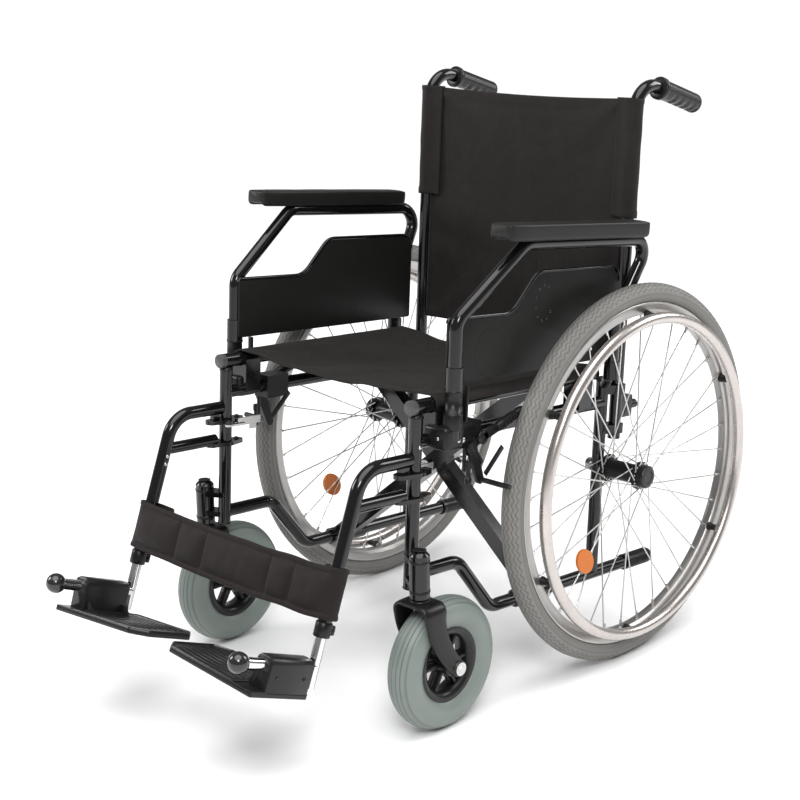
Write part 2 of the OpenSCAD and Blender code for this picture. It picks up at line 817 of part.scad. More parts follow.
module side_panel(side) {
    front = -post_front_y - 6;
    color(black) on_side(side) leaning() difference() {
        sideways(panel_x) linear_extrude(panel_t) polygon(rounded([
            [front, panel_low, 4], [front, post_top + 2, 4], [panel_step_y, post_top - 3, 40],
            [panel_crest_y, panel_crest_h, 30], [panel_rear_y, panel_crest_h - 6, 24],
            [panel_rear_y, panel_low - panel_fall, 4]
        ]));
        translate([post_x, -post_front_y, socket_top])
            cylinder(h = collar_h + 1, d = collar_d + 2 * fit_gap);
    }
}

// ---- Footrests ----

ear_t = 6;
ear_r = 15;
upper_ear_z = 54;
lower_ear_z = 18;
ear_front = 28;
ear_tail = 24;
riser_w = 8;

module ear(z) {
    spot = [frame_x, front_y];
    translate([0, 0, z]) {
        link(spot, ear_r, spot - [0, ear_front], 10, ear_t);
        link(spot, ear_r, spot + [0, ear_tail], 9, ear_t);
    }
}

module hanger(side) {
    back = front_y - tube_r - 1;
    color(black) on_side(side) leaning() difference() {
        union() {
            bent_tube([[frame_x, back, hanger_h], hanger_corner, hanger_end], tube_d, bend_r * 1.3);
            bar([frame_x, back - 10, strut_h],
                [frame_x, -hanger_y - (hanger_h - strut_h) * tan(hanger_lean), strut_h], strut_d);
            ear(upper_ear_z);
            ear(lower_ear_z);
            translate([0, 0, upper_ear_z])
                link([frame_x, front_y], ear_r, [release_x, release_y], 7, ear_t);
            translate([frame_x - riser_w / 2, front_y - ear_front, upper_ear_z])
                cube([riser_w, ear_front - ear_r, hanger_h - upper_ear_z]);
        }
        translate([frame_x, front_y, 0]) cylinder(h = upper_rail_h, d = bore_d);
        bar(hanger_end - down_dir * foot_slide_room, hanger_end + down_dir, foot_tube_d + 2 * fit_gap);
        translate([release_x, release_y, upper_ear_z - 1]) cylinder(h = ear_t + 2, d = release_pin_d);
    }
}

release_w = 10;
release_pin_d = 6;
release_x = frame_x - tube_r - 7;
release_y = front_y - 8;
tab_drop = 8;
foot_slide_room = 175;
foot_insert = 130;
foot_tail = 28;
foot_bar_run = foot_bar_l - sqrt(knob_d * knob_d - foot_bar_d * foot_bar_d) / 2;

module foot_tube(side) {
    color(steel) on_side(side) leaning() {
        bar(hanger_end - down_dir * foot_insert, foot_joint + down_dir * foot_tail, foot_tube_d);
        bar(foot_joint, foot_joint + bar_dir * foot_bar_run, foot_bar_d);
    }
}

// A ball cut flat where the bar's end meets it
module foot_knob(side) {
    color(black) on_side(side) leaning() difference() {
        translate(foot_joint + bar_dir * foot_bar_l) sphere(d = knob_d);
        bar(foot_joint, foot_joint + bar_dir * foot_bar_run, knob_d);
    }
}

block_start = 13;
block_top = 14;
block_low = 41;
plate_front = 119;
plate_back = 2;
plate_cut = 22;

// Drawn about the hinge bar: X inward is negative, Y runs forward along the bar, Z is up
module footplate(side) {
    w = block_w / 2;
    color(black) on_side(side) leaning() translate(foot_joint)
        multmatrix([[1, 0, 0, 0], [0, bar_dir[1], -down_dir[1], 0], [0, bar_dir[2], -down_dir[2], 0],
            [0, 0, 0, 1]])
            rotate([0, plate_tilt, 0]) difference() {
                union() {
                    translate([0, block_start, 0]) rotate([-90, 0, 0]) linear_extrude(block_l)
                        polygon(rounded([[-w, -block_top, 9], [w, -block_top, 9], [w, block_low, 5],
                            [-w, block_low, 3]]));
                    translate([0, 0, -block_low]) linear_extrude(plate_t) polygon(rounded([
                        [-plate_reach, plate_back + plate_cut * 0.9, 3],
                            [-plate_reach, plate_front - plate_cut, 3],
                        [-plate_reach + plate_cut, plate_front, 3], [w, plate_front, 3],
                            [w, block_start, 3],
                        [-w - 4, plate_back - 12, 3], [-plate_reach + plate_cut, plate_back, 3]
                    ]));
                }
                translate([0, block_start - 1, 0]) rotate([-90, 0, 0])
                    cylinder(h = block_l + 2, d = foot_bar_d + 2 * fit_gap);
            }
}

release_gap = 0.5;
release_z = upper_ear_z - 5;
tab_l = 14;

// A strip beside the upright, turning on a pin through the upper ear's lobe
module release_lever(side) {
    plate_z = upper_ear_z - release_t - release_gap;
    strip = [release_x - release_t / 2, front_y + ear_r - release_w / 2];
    color(steel) on_side(side) leaning() {
        translate([0, 0, plate_z])
            link([release_x, release_y], release_w / 2, [release_x, strip[1] + release_w],
                release_w / 2, release_t);
        translate([release_x, release_y, plate_z])
            cylinder(h = ear_t + release_t + 2 * release_gap, d = release_pin_d - 2 * fit_gap);
        translate([strip[0], strip[1], release_z]) cube([release_t, release_l, release_h]);
        translate([strip[0], strip[1] + release_l - tab_l - 8, release_z - tab_drop])
            cube([release_t, tab_l, tab_drop + 1]);
    }
}

// ---- Cross brace ----

// One arm with its hinge sleeve on this side's lower rail and the seat rail of the other side
module brace_arm(side, y) {
    arm_end = brace_w / 2;
    rail_y = -seat_rail_front + plug_l;
    color(black) on_side(side) leaning() difference() {
        union() {
            bar([frame_x, -brace_y - sleeve_l / 2, -lower_rail_h],
                [frame_x, -brace_y + sleeve_l / 2, -lower_rail_h],
                sleeve_d);
            bar([-frame_x, rail_y, seat_rail_h], [-frame_x, -seat_rail_rear, seat_rail_h], seat_rail_d);
            translate([0, y, brace_mid_z]) rotate([0, brace_angle, 0])
                cube([brace_l - 4, brace_t, brace_w], center = true);
        }
        bar([frame_x, -brace_y - sleeve_l, -lower_rail_h],
            [frame_x, -brace_y + sleeve_l, -lower_rail_h], bore_d);
        bar([0, -brace_y - 2 * brace_t, brace_mid_z], [0, -brace_y + 2 * brace_t, brace_mid_z],
            side > 0 ? brace_bolt_d : brace_bolt_d + 2 * fit_gap);
    }
}

bolt_head_d = 18;
bolt_head_t = 6;

module brace_bolt() {
    reach = brace_t + brace_gap / 2;
    color(steel) leaning() {
        bar([0, -brace_y - reach - bolt_head_t, brace_mid_z],
            [0, -brace_y + reach + bolt_head_t, brace_mid_z],
            brace_bolt_d);
        bar([0, -brace_y - reach - bolt_head_t, brace_mid_z], [0, -brace_y - reach - 0.3, brace_mid_z],
            bolt_head_d);
        bar([0, -brace_y + reach, brace_mid_z], [0, -brace_y + reach + bolt_head_t, brace_mid_z],
            bolt_head_d);
    }
}

module rail_plug(side) {
    color(black) on_side(side) leaning()
        bar([frame_x, -seat_rail_front, seat_rail_h], [frame_x, -seat_rail_front + plug_l, seat_rail_h],
            seat_rail_d);
}

// ---- Soft pieces ----

sling_front = 26;
sling_rear = 4;

module seat_sling() {
    w = frame_spacing + seat_rail_d - 2 * soft_gap;
    l = seat_rail_front - seat_rail_rear - sling_front - sling_rear;
    color(cloth) leaning()
        translate([-w / 2, -seat_rail_front + sling_front, seat_rail_h + seat_rail_d / 2 + clear_gap])
            cube([w, l, sling_t]);
}

module back_sling() {
    w = 2 * cane_x - tube_d - 2 * soft_gap;
    color(cloth) leaning()
        translate([-w / 2, cane_y - sling_t / 2, back_low]) cube([w, sling_t, back_top - back_low]);
}

strap_at = 171;
strap_out = 27;

module calf_strap() {
    w = frame_spacing + 2 * strap_out;
    color(cloth) leaning() translate([0, -hanger_y, hanger_h] + down_dir * strap_at)
        rotate([-hanger_lean, 0, 0])
            translate([-w / 2, -tube_r - soft_gap - strap_t, -strap_h / 2]) cube([w, strap_t, strap_h]);
}

side_frame(1);  // left_side_frame
tip_cap(1);  // left_tip_cap
back_cane(1);  // left_back_cane
push_grip(1);  // left_push_grip
caster_fork(1);  // left_caster_fork
caster_axle(1);  // left_caster_axle
caster_rim(1);  // left_caster_rim
caster_tyre(1);  // left_caster_tyre
rear_axle(1);  // left_rear_axle
rear_hub(1);  // left_rear_hub
rear_spokes(1);  // left_rear_spokes
rear_rim(1);  // left_rear_rim
rear_tyre(1);  // left_rear_tyre
handrim(1);  // left_handrim
reflector(1);  // left_reflector
brake_clamp(1);  // left_brake_clamp
brake_lever(1);  // left_brake_lever
brake_bar(1);  // left_brake_bar
armrest_frame(1);  // left_armrest_frame
armrest_pad(1);  // left_armrest_pad
side_panel(1);  // left_side_panel
hanger(1);  // left_hanger
release_lever(1);  // left_release_lever
foot_tube(1);  // left_foot_tube
foot_knob(1);  // left_foot_knob
footplate(1);  // left_footplate
rail_plug(1);  // left_rail_plug
side_frame(-1);  // right_side_frame
tip_cap(-1);  // right_tip_cap
back_cane(-1);  // right_back_cane
push_grip(-1);  // right_push_grip
caster_fork(-1);  // right_caster_fork
caster_axle(-1);  // right_caster_axle
caster_rim(-1);  // right_caster_rim
caster_tyre(-1);  // right_caster_tyre
rear_axle(-1);  // right_rear_axle
rear_hub(-1);  // right_rear_hub
rear_spokes(-1);  // right_rear_spokes
rear_rim(-1);  // right_rear_rim
rear_tyre(-1);  // right_rear_tyre
handrim(-1);  // right_handrim
reflector(-1);  // right_reflector
brake_clamp(-1);  // right_brake_clamp
brake_lever(-1);  // right_brake_lever
brake_bar(-1);  // right_brake_bar
armrest_frame(-1);  // right_armrest_frame
armrest_pad(-1);  // right_armrest_pad
side_panel(-1);  // right_side_panel
hanger(-1);  // right_hanger
release_lever(-1);  // right_release_lever
foot_tube(-1);  // right_foot_tube
foot_knob(-1);  // right_foot_knob
footplate(-1);  // right_footplate
rail_plug(-1);  // right_rail_plug
brace_arm(1, -brace_y + arm_shift);  // left_brace_arm
brace_arm(-1, -brace_y - arm_shift);  // right_brace_arm
brace_bolt();
seat_sling();
back_sling();
calf_strap();
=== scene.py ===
import json
import math
import bpy
import bmesh
from mathutils import Matrix, Vector, noise


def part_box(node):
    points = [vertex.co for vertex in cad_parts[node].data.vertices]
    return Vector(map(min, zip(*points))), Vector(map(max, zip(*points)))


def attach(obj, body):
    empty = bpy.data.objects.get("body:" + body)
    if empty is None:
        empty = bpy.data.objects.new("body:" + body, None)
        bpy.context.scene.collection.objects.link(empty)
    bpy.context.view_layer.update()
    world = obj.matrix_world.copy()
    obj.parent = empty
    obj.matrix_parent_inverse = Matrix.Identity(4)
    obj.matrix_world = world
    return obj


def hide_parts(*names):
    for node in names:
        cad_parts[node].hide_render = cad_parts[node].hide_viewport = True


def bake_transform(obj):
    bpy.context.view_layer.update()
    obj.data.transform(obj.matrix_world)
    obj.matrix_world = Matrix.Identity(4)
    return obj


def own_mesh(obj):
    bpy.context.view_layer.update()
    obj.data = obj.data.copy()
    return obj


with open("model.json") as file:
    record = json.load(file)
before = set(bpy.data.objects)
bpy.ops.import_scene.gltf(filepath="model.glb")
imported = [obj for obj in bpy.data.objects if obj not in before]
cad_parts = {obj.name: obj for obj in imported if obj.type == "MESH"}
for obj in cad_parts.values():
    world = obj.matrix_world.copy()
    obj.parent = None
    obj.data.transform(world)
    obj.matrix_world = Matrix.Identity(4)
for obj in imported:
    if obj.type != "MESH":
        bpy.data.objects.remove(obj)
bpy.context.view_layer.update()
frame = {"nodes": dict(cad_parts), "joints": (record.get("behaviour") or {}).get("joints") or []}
nodes = frame["nodes"]
joints = {j["name"]: j for j in frame["joints"]}
sides = (("left", 1), ("right", -1))

# The frame leans back a few degrees: the rear axle and these directions are its axes
axle = Vector(joints["left_wheel_spin"]["pos_m"])
wheelX = axle.x * 1000
rearward = Vector(joints["fold"]["axis"]).normalized()
sidewise = Vector((1, 0, 0))
skyward = Vector((0, 0, 1))
upward = sidewise.cross(rearward)
frameX = joints["fold"]["pos_m"][0] * 1000
stem = Vector(joints["left_caster_swivel"]["pos_m"])
casterHub = Vector(joints["left_caster_spin"]["pos_m"])
footJoint = Vector(joints["left_footplate_flip"]["pos_m"])
footForward = Vector(joints["right_footplate_flip"]["axis"]).normalized()
footUp = sidewise.cross(-footForward)


def mm(x, y, z):  # a point in the leaning axes, in mm from the middle of the rear axle
    return Vector((x / 1000, axle.y, axle.z)) + rearward * (y / 1000) + upward * (z / 1000)


def footPoint(x, v, w):  # a point x across, v ahead of the foot bar's middle and w above it, in mm
    return Vector((x / 1000, footJoint.y, footJoint.z)) + footForward * (v / 1000) + footUp * (w / 1000)


def link(obj):
    bpy.context.scene.collection.objects.link(obj)
    return obj


def meshObject(name, verts, faces, material, smooth=True):
    mesh = bpy.data.meshes.new(name)
    mesh.from_pydata([tuple(v) for v in verts], [], faces)
    mesh.materials.append(material)
    mesh.polygons.foreach_set("use_smooth", [smooth] * len(mesh.polygons))
    mesh.update()
    return link(bpy.data.objects.new(name, mesh))


def fixNormals(obj):
    bm = bmesh.new()
    bm.from_mesh(obj.data)
    bmesh.ops.recalc_face_normals(bm, faces=bm.faces)
    bm.to_mesh(obj.data)
    bm.free()
    return obj


def baked(obj):  # turns an object with modifiers into a plain mesh
    graph = bpy.context.evaluated_depsgraph_get()
    graph.update()
    mesh = bpy.data.meshes.new_from_object(obj.evaluated_get(graph), preserve_all_data_layers=True,
        depsgraph=graph)
    obj.modifiers.clear()
    obj.data = mesh
    return obj


def modify(obj, kind, **settings):
    modifier = obj.modifiers.new(kind.lower(), kind)
    for key, value in settings.items():
        setattr(modifier, key, value)
    return obj


def keepSharp(obj, degrees=35):
    obj.data.set_sharp_from_angle(angle=math.radians(degrees))
    return obj


def band(name, rings, material, closed=True, caps=False):  # a skin over rings of points
    count = len(rings[0])
    verts = [p for ring in rings for p in ring]
    faces = []
    for i in range(len(rings) - 1):
        for j in range(count if closed else count - 1):
            k = (j + 1) % count
            faces.append((i * count + j, i * count + k, (i + 1) * count + k, (i + 1) * count + j))
    if caps:
        faces.append(tuple(reversed(range(count))))
        faces.append(tuple((len(rings) - 1) * count + j for j in range(count)))
    return fixNormals(meshObject(name, verts, faces, material))


def wheelRing(name, profile, centre, steps, material):  # profile of (across, radius) in mm, turned about X
    rings = []
    for i in range(steps + 1):
        a = 2 * math.pi * (i % steps) / steps
        rings.append([centre + Vector((dx, r * math.cos(a), r * math.sin(a))) / 1000 for dx, r in profile])
    obj = band(name, rings, material)
    bm = bmesh.new()
    bm.from_mesh(obj.data)
    bmesh.ops.remove_doubles(bm, verts=bm.verts, dist=1e-7)
    bm.to_mesh(obj.data)
    bm.free()
    return obj


def lathe(name, start, along, profile, material, steps=40, shape=None):  # (distance, radius) in mm
    along = along.normalized()
    side = sidewise if abs(along.x) < 0.9 else upward.copy()
    side = (side - along * side.dot(along)).normalized()
    other = along.cross(side)
    rings = []
    for s, r in profile:
        ring = []
        for i in range(steps):
            a = 2 * math.pi * i / steps
            q = r * (shape(s, a) if shape else 1)
            ring.append(start + along * (s / 1000) + (side * math.cos(a) + other * math.sin(a))
                * (q / 1000))
        rings.append(ring)
    return band(name, rings, material, caps=True)


def roundedBox(name, origin, directions, size, bevel, material, segments=3):  # size in mm, about the origin
    bm = bmesh.new()
    bmesh.ops.create_cube(bm, size=1)
    for v in bm.verts:
        v.co = Vector(v.co[k] * size[k] for k in range(3)) / 1000
    bmesh.ops.bevel(bm, geom=bm.edges[:], offset=bevel / 1000, segments=segments, affect="EDGES",
        profile=0.5)
    basis = Matrix.Identity(4)
    for k in range(3):
        for row in range(3):
            basis[row][k] = directions[k][row]
    basis.translation = origin
    bm.transform(basis)
    bmesh.ops.recalc_face_normals(bm, faces=bm.faces)
    mesh = bpy.data.meshes.new(name)
    bm.to_mesh(mesh)
    bm.free()
    mesh.materials.append(material)
    mesh.polygons.foreach_set("use_smooth", [True] * len(mesh.polygons))
    return keepSharp(link(bpy.data.objects.new(name, mesh)), 50)


def merged(name, parts):  # one plain mesh out of several
    bm = bmesh.new()
    slots = []
    for part in parts:
        first = len(bm.faces)
        bm.from_mesh(part.data)
        material = part.data.materials[0]
        if material not in slots:
            slots.append(material)
        bm.faces.ensure_lookup_table()
        for face in bm.faces[first:]:
            face.material_index = slots.index(material)
    mesh = bpy.data.meshes.new(name)
    bm.to_mesh(mesh)
    bm.free()
    for part in parts:
        bpy.data.objects.remove(part)
    for material in slots:
        mesh.materials.append(material)
    return link(bpy.data.objects.new(name, mesh))


frameAxes = (sidewise, rearward, upward)
print("stage: helpers ready")


# Shader groups shared by the materials
def newGroup(name, inputs, outputs):
    tree = bpy.data.node_groups.new(name, "ShaderNodeTree")
    for label, kind, value in inputs:
        socket = tree.interface.new_socket(label, in_out="INPUT", socket_type=kind)
        socket.default_value = value
    for label, kind in outputs:
        tree.interface.new_socket(label, in_out="OUTPUT", socket_type=kind)
    return tree, tree.nodes.new("NodeGroupInput"), tree.nodes.new("NodeGroupOutput")


def mathNode(tree, operation, a, b=None, clamp=False):
    node = tree.nodes.new("ShaderNodeMath")
    node.operation = operation
    node.use_clamp = clamp
    for slot, value in enumerate((a, b)):
        if value is None:
            continue
        if isinstance(value, (int, float)):
            node.inputs[slot].default_value = value
        else:
            tree.links.new(value, node.inputs[slot])
    return node.outputs[0]


def patchGroup():  # slow patches of a second colour, and roughness that drifts with them
    tree, source, result = newGroup(
        "patches",
        [("First", "NodeSocketColor", (0, 0, 0, 1)), ("Second", "NodeSocketColor", (0, 0, 0, 1)),
         ("Scale", "NodeSocketFloat", 20), ("Rough", "NodeSocketFloat", 0.4),
         ("Drift", "NodeSocketFloat", 0.08)],
        [("Color", "NodeSocketColor"), ("Roughness", "NodeSocketFloat")],
    )
    place = tree.nodes.new("ShaderNodeTexCoord")
    cloud = tree.nodes.new("ShaderNodeTexNoise")
    cloud.inputs["Detail"].default_value = 6
    cloud.inputs["Roughness"].default_value = 0.6
    tree.links.new(place.outputs["Object"], cloud.inputs["Vector"])
    tree.links.new(source.outputs["Scale"], cloud.inputs["Scale"])
    mix = tree.nodes.new("ShaderNodeMix")
    mix.data_type = "RGBA"
    tree.links.new(cloud.outputs["Fac"], mix.inputs[0])
    tree.links.new(source.outputs["First"], mix.inputs[6])
    tree.links.new(source.outputs["Second"], mix.inputs[7])
    tree.links.new(mix.outputs[2], result.inputs["Color"])
    centred = mathNode(tree, "SUBTRACT", cloud.outputs["Fac"], 0.5)
    scaled = mathNode(tree, "MULTIPLY", centred, source.outputs["Drift"])
    doubled = mathNode(tree, "MULTIPLY", scaled, 4)
    tree.links.new(mathNode(tree, "ADD", source.outputs["Rough"], doubled, True),
        result.inputs["Roughness"])
    return tree


def grainGroup():  # fine moulded or painted grain, as a normal
    tree, source, result = newGroup(
        "grain",
        [("Scale", "NodeSocketFloat", 600), ("Strength", "NodeSocketFloat", 0.2),
        ("Depth", "NodeSocketFloat", 0.0005)],
        [("Normal", "NodeSocketVector")],
    )
    place = tree.nodes.new("ShaderNodeTexCoord")
    cloud = tree.nodes.new("ShaderNodeTexNoise")
    cloud.inputs["Detail"].default_value = 3
    bump = tree.nodes.new("ShaderNodeBump")
    tree.links.new(place.outputs["Object"], cloud.inputs["Vector"])
    tree.links.new(source.outputs["Scale"], cloud.inputs["Scale"])
    tree.links.new(cloud.outputs["Fac"], bump.inputs["Height"])
    tree.links.new(source.outputs["Strength"], bump.inputs["Strength"])
    tree.links.new(source.outputs["Depth"], bump.inputs["Distance"])
    tree.links.new(bump.outputs["Normal"], result.inputs["Normal"])
    return tree


def weaveGroup():  # crossed threads over soft creases
    tree, source, result = newGroup(
        "weave",
        [("Threads", "NodeSocketFloat", 900), ("Strength", "NodeSocketFloat", 0.3),
        ("Creases", "NodeSocketFloat", 0.3)],
        [("Normal", "NodeSocketVector"), ("Thread", "NodeSocketFloat")],
    )
    place = tree.nodes.new("ShaderNodeTexCoord")
    waves = []
    for axis in ("X", "Z"):
        wave = tree.nodes.new("ShaderNodeTexWave")
        wave.bands_direction = axis
        wave.inputs["Distortion"].default_value = 0.4
        wave.inputs["Detail"].default_value = 1
        tree.links.new(place.outputs["Object"], wave.inputs["Vector"])
        tree.links.new(source.outputs["Threads"], wave.inputs["Scale"])
        waves.append(wave.outputs["Fac"])
    thread = mathNode(tree, "MAXIMUM", waves[0], waves[1])
    crease = tree.nodes.new("ShaderNodeTexNoise")
    crease.inputs["Scale"].default_value = 9
    crease.inputs["Detail"].default_value = 4
    crease.inputs["Distortion"].default_value = 0.6
    tree.links.new(place.outputs["Object"], crease.inputs["Vector"])
    fold = tree.nodes.new("ShaderNodeBump")
    fold.inputs["Distance"].default_value = 0.02
    tree.links.new(source.outputs["Creases"], fold.inputs["Strength"])
    tree.links.new(crease.outputs["Fac"], fold.inputs["Height"])
    bump = tree.nodes.new("ShaderNodeBump")
    bump.inputs["Distance"].default_value = 0.0004
    tree.links.new(source.outputs["Strength"], bump.inputs["Strength"])
    tree.links.new(thread, bump.inputs["Height"])
    tree.links.new(fold.outputs["Normal"], bump.inputs["Normal"])
    tree.links.new(bump.outputs["Normal"], result.inputs["Normal"])
    tree.links.new(thread, result.inputs["Thread"])
    return tree


patches = patchGroup()
grain = grainGroup()
weave = weaveGroup()


def makeMaterial(name, first, second, rough, metal=0.0, coat=0.0, patchScale=25, drift=0.05,
                 grainScale=700, grainStrength=0.15, creases=None, sheen=0.0, specular=0.5):
    material = bpy.data.materials.new(name)
    material.use_nodes = True
    tree = material.node_tree
    shader = tree.nodes["Principled BSDF"]
    shader.inputs["Metallic"].default_value = metal
    shader.inputs["Coat Weight"].default_value = coat
    shader.inputs["Coat Roughness"].default_value = 0.08
    shader.inputs["Sheen Weight"].default_value = sheen
    shader.inputs["Specular IOR Level"].default_value = specular
    colour = tree.nodes.new("ShaderNodeGroup")
    colour.node_tree = patches
    colour.inputs["First"].default_value = (*first, 1)
    colour.inputs["Second"].default_value = (*second, 1)
    colour.inputs["Scale"].default_value = patchScale
    colour.inputs["Rough"].default_value = rough
    colour.inputs["Drift"].default_value = drift
    tree.links.new(colour.outputs["Color"], shader.inputs["Base Color"])
    tree.links.new(colour.outputs["Roughness"], shader.inputs["Roughness"])
    relief = tree.nodes.new("ShaderNodeGroup")
    if creases is None:
        relief.node_tree = grain
        relief.inputs["Scale"].default_value = grainScale
        relief.inputs["Strength"].default_value = grainStrength
    else:
        relief.node_tree = weave
        relief.inputs["Creases"].default_value = creases
    tree.links.new(relief.outputs["Normal"], shader.inputs["Normal"])
    return material


def paintShadeBy(material, attribute, dark, share=1.0):  # painted shade: mixes a darker colour into the base colour where a mesh attribute is 1
    tree = material.node_tree
    shader = tree.nodes["Principled BSDF"]
    socket = shader.inputs["Base Color"].links[0].from_socket
    shadeMask = tree.nodes.new("ShaderNodeAttribute")
    shadeMask.attribute_name = attribute
    mix = tree.nodes.new("ShaderNodeMix")
    mix.data_type = "RGBA"
    tree.links.new(mathNode(tree, "MULTIPLY", shadeMask.outputs["Fac"], share, True), mix.inputs[0])
    tree.links.new(socket, mix.inputs[6])
    mix.inputs[7].default_value = (*dark, 1)
    tree.links.new(mix.outputs[2], shader.inputs["Base Color"])
    return material


paint = makeMaterial("blackPaint", (0.0035, 0.0035, 0.0037), (0.006, 0.006, 0.006), 0.13, coat=0.3,
    grainStrength=0.02, specular=0.3)
satinBlack = makeMaterial("satinBlack", (0.006, 0.006, 0.006), (0.01, 0.0095, 0.0095), 0.32,
    grainStrength=0.12, specular=0.26)
plastic = makeMaterial("mouldedPlastic", (0.008, 0.0078, 0.008), (0.013, 0.0125, 0.0125), 0.3,
    grainStrength=0.14, specular=0.3)
panelPlastic = makeMaterial("panelPlastic", (0.0105, 0.0105, 0.0098), (0.0145, 0.0142, 0.0135), 0.42,
    grainScale=1400, grainStrength=0.3, specular=0.16)
gripRubber = makeMaterial("gripRubber", (0.008, 0.008, 0.0083), (0.013, 0.013, 0.013), 0.3,
    grainStrength=0.12, specular=0.3)
vinyl = makeMaterial("padVinyl", (0.011, 0.0108, 0.0102), (0.016, 0.0155, 0.0148), 0.42, grainScale=900,
    grainStrength=0.4, specular=0.2)
fabric = makeMaterial("nylonFabric", (0.0118, 0.0098, 0.0094), (0.0205, 0.0172, 0.0165), 0.62,
    creases=0.3, sheen=0.03, drift=0.04, specular=0.12)
webbing = makeMaterial("quiltedNylon", (0.0115, 0.0088, 0.008), (0.0185, 0.0145, 0.0136), 0.58,
    creases=0.25, sheen=0.03, specular=0.12)
chrome = makeMaterial("chromePlate", (0.78, 0.78, 0.8), (0.66, 0.66, 0.68), 0.1, metal=1,
    grainStrength=0.02)
steel = makeMaterial("zincSteel", (0.62, 0.61, 0.6), (0.5, 0.49, 0.48), 0.28, metal=1, grainStrength=0.1)
rimAlloy = makeMaterial("rimAlloy", (0.46, 0.445, 0.43), (0.36, 0.35, 0.34), 0.34, metal=0.9,
    grainStrength=0.08)
handrimAlloy = makeMaterial("handrimAlloy", (0.56, 0.52, 0.495), (0.47, 0.435, 0.415), 0.27, metal=0.9,
    grainStrength=0.05)
# Tyre rubbers get painted shade: their colour darkens where the groove attribute marks the tread grooves
greyRubber = paintShadeBy(makeMaterial("greyRubber", (0.2, 0.194, 0.182), (0.155, 0.15, 0.14), 0.6,
    grainStrength=0.3), "groove", (0.03, 0.028, 0.026), 0.9)
greenRubber = paintShadeBy(makeMaterial("greenRubber", (0.185, 0.218, 0.198), (0.15, 0.178, 0.161), 0.42,
    grainStrength=0.2), "groove", (0.03, 0.036, 0.033), 0.85)
amber = makeMaterial("amberReflector", (0.6, 0.16, 0.0005), (0.48, 0.1, 0.0005), 0.3, coat=0.1,
    patchScale=300, grainScale=260, grainStrength=0.9, specular=0.3)

nodeMaterials = {
    "side_frame": paint, "tip_cap": gripRubber, "back_cane": paint, "push_grip": gripRubber,
    "caster_fork": satinBlack,
    "caster_axle": steel, "caster_rim": plastic, "caster_tyre": greenRubber, "rear_axle": steel,
    "rear_hub": satinBlack,
    "rear_spokes": steel, "rear_rim": rimAlloy, "rear_tyre": greyRubber, "handrim": handrimAlloy,
    "reflector": amber,
    "brake_clamp": satinBlack, "brake_lever": gripRubber, "brake_bar": satinBlack, "armrest_frame": paint,
    "armrest_pad": vinyl, "side_panel": panelPlastic, "hanger": paint, "release_lever": steel,
    "foot_tube": chrome,
    "foot_knob": plastic, "footplate": plastic, "rail_plug": plastic, "brace_arm": paint,
    "brace_bolt": steel,
    "seat_sling": fabric, "back_sling": fabric, "calf_strap": webbing,
}
for name, obj in nodes.items():
    plain = name.removeprefix("left_").removeprefix("right_")
    obj.data.materials.clear()
    obj.data.materials.append(nodeMaterials[plain])
print("stage: materials on", len(nodes), "nodes")

# Rear tyres: a crown cut by three zigzag grooves, and a smooth sidewall
rearTyre = {"steps": 900, "radius": 299.6, "halfWidth": 16.8, "seat": 269.5, "groove": 1.1,
    "zigzags": 132, "swing": 2.2}


def makeRearTyre(side, sign):
    s = rearTyre
    centre = Vector((sign * axle.x, axle.y, axle.z))
    section = []
    for i in range(37):
        a = math.radians(-118 + i * 236 / 36)
        section.append((s["halfWidth"] * math.sin(a), s["radius"] - 17 + 17 * math.cos(a), a))
    inner = [(s["halfWidth"] * 0.66, s["seat"] + 2, 9), (-s["halfWidth"] * 0.66, s["seat"] + 2, 9)]
    section = [p for p in section if p[1] > s["seat"]] + inner
    verts, shadeMasks, faces = [], [], []
    count = len(section)
    for k in range(s["steps"]):
        turn = 2 * math.pi * k / s["steps"]
        wave = 2 * abs(2 * ((k * s["zigzags"] / s["steps"]) % 1) - 1) - 1
        for dx, r, a in section:
            across = math.degrees(a) if a < 8 else 180
            # painted shade: this mask darkens the tyre's colour along the grooves, and half as much along a
            # line round each sidewall
            shadeMask = 0.0
            for line in (-58, -36, -12, 12, 36, 58):
                gap = abs(across - line - wave * s["swing"] * 3.4)
                shadeMask = max(shadeMask, 1 - gap / 5.5)
            if abs(across) > 70:
                shadeMask = max(0, 1 - abs(abs(across) - 84) / 4) * 0.5
            rr = r - s["groove"] * shadeMask * max(0, math.cos(a) if a < 8 else 0)
            verts.append(centre + Vector((dx, rr * math.cos(turn), rr * math.sin(turn))) / 1000)
            shadeMasks.append(shadeMask)
        for j in range(count):
            n = (k + 1) % s["steps"]
            faces.append((k * count + j, k * count + (j + 1) % count, n * count + (j + 1) % count,
                n * count + j))
    obj = fixNormals(meshObject(f"{side}_tyre_tread", verts, faces, greyRubber))
    # the groove attribute carries the painted shade mask
    obj.data.attributes.new("groove", "FLOAT", "POINT").data.foreach_set("value", shadeMasks)
    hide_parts(f"{side}_rear_tyre")
    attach(obj, f"{side}_wheel")


# Casters: a ribbed crown on a fat tyre, and a dished plastic wheel with six spokes
casterTyre = {"radius": 99.8, "halfWidth": 24.6, "seat": 55.5, "grooves": (-14, -8.5, -3, 3, 8.5, 14),
    "cut": 1.3}
casterRim = {"lip": 57, "inner": 42, "halfWidth": 16, "spokes": 6, "hub": 15}


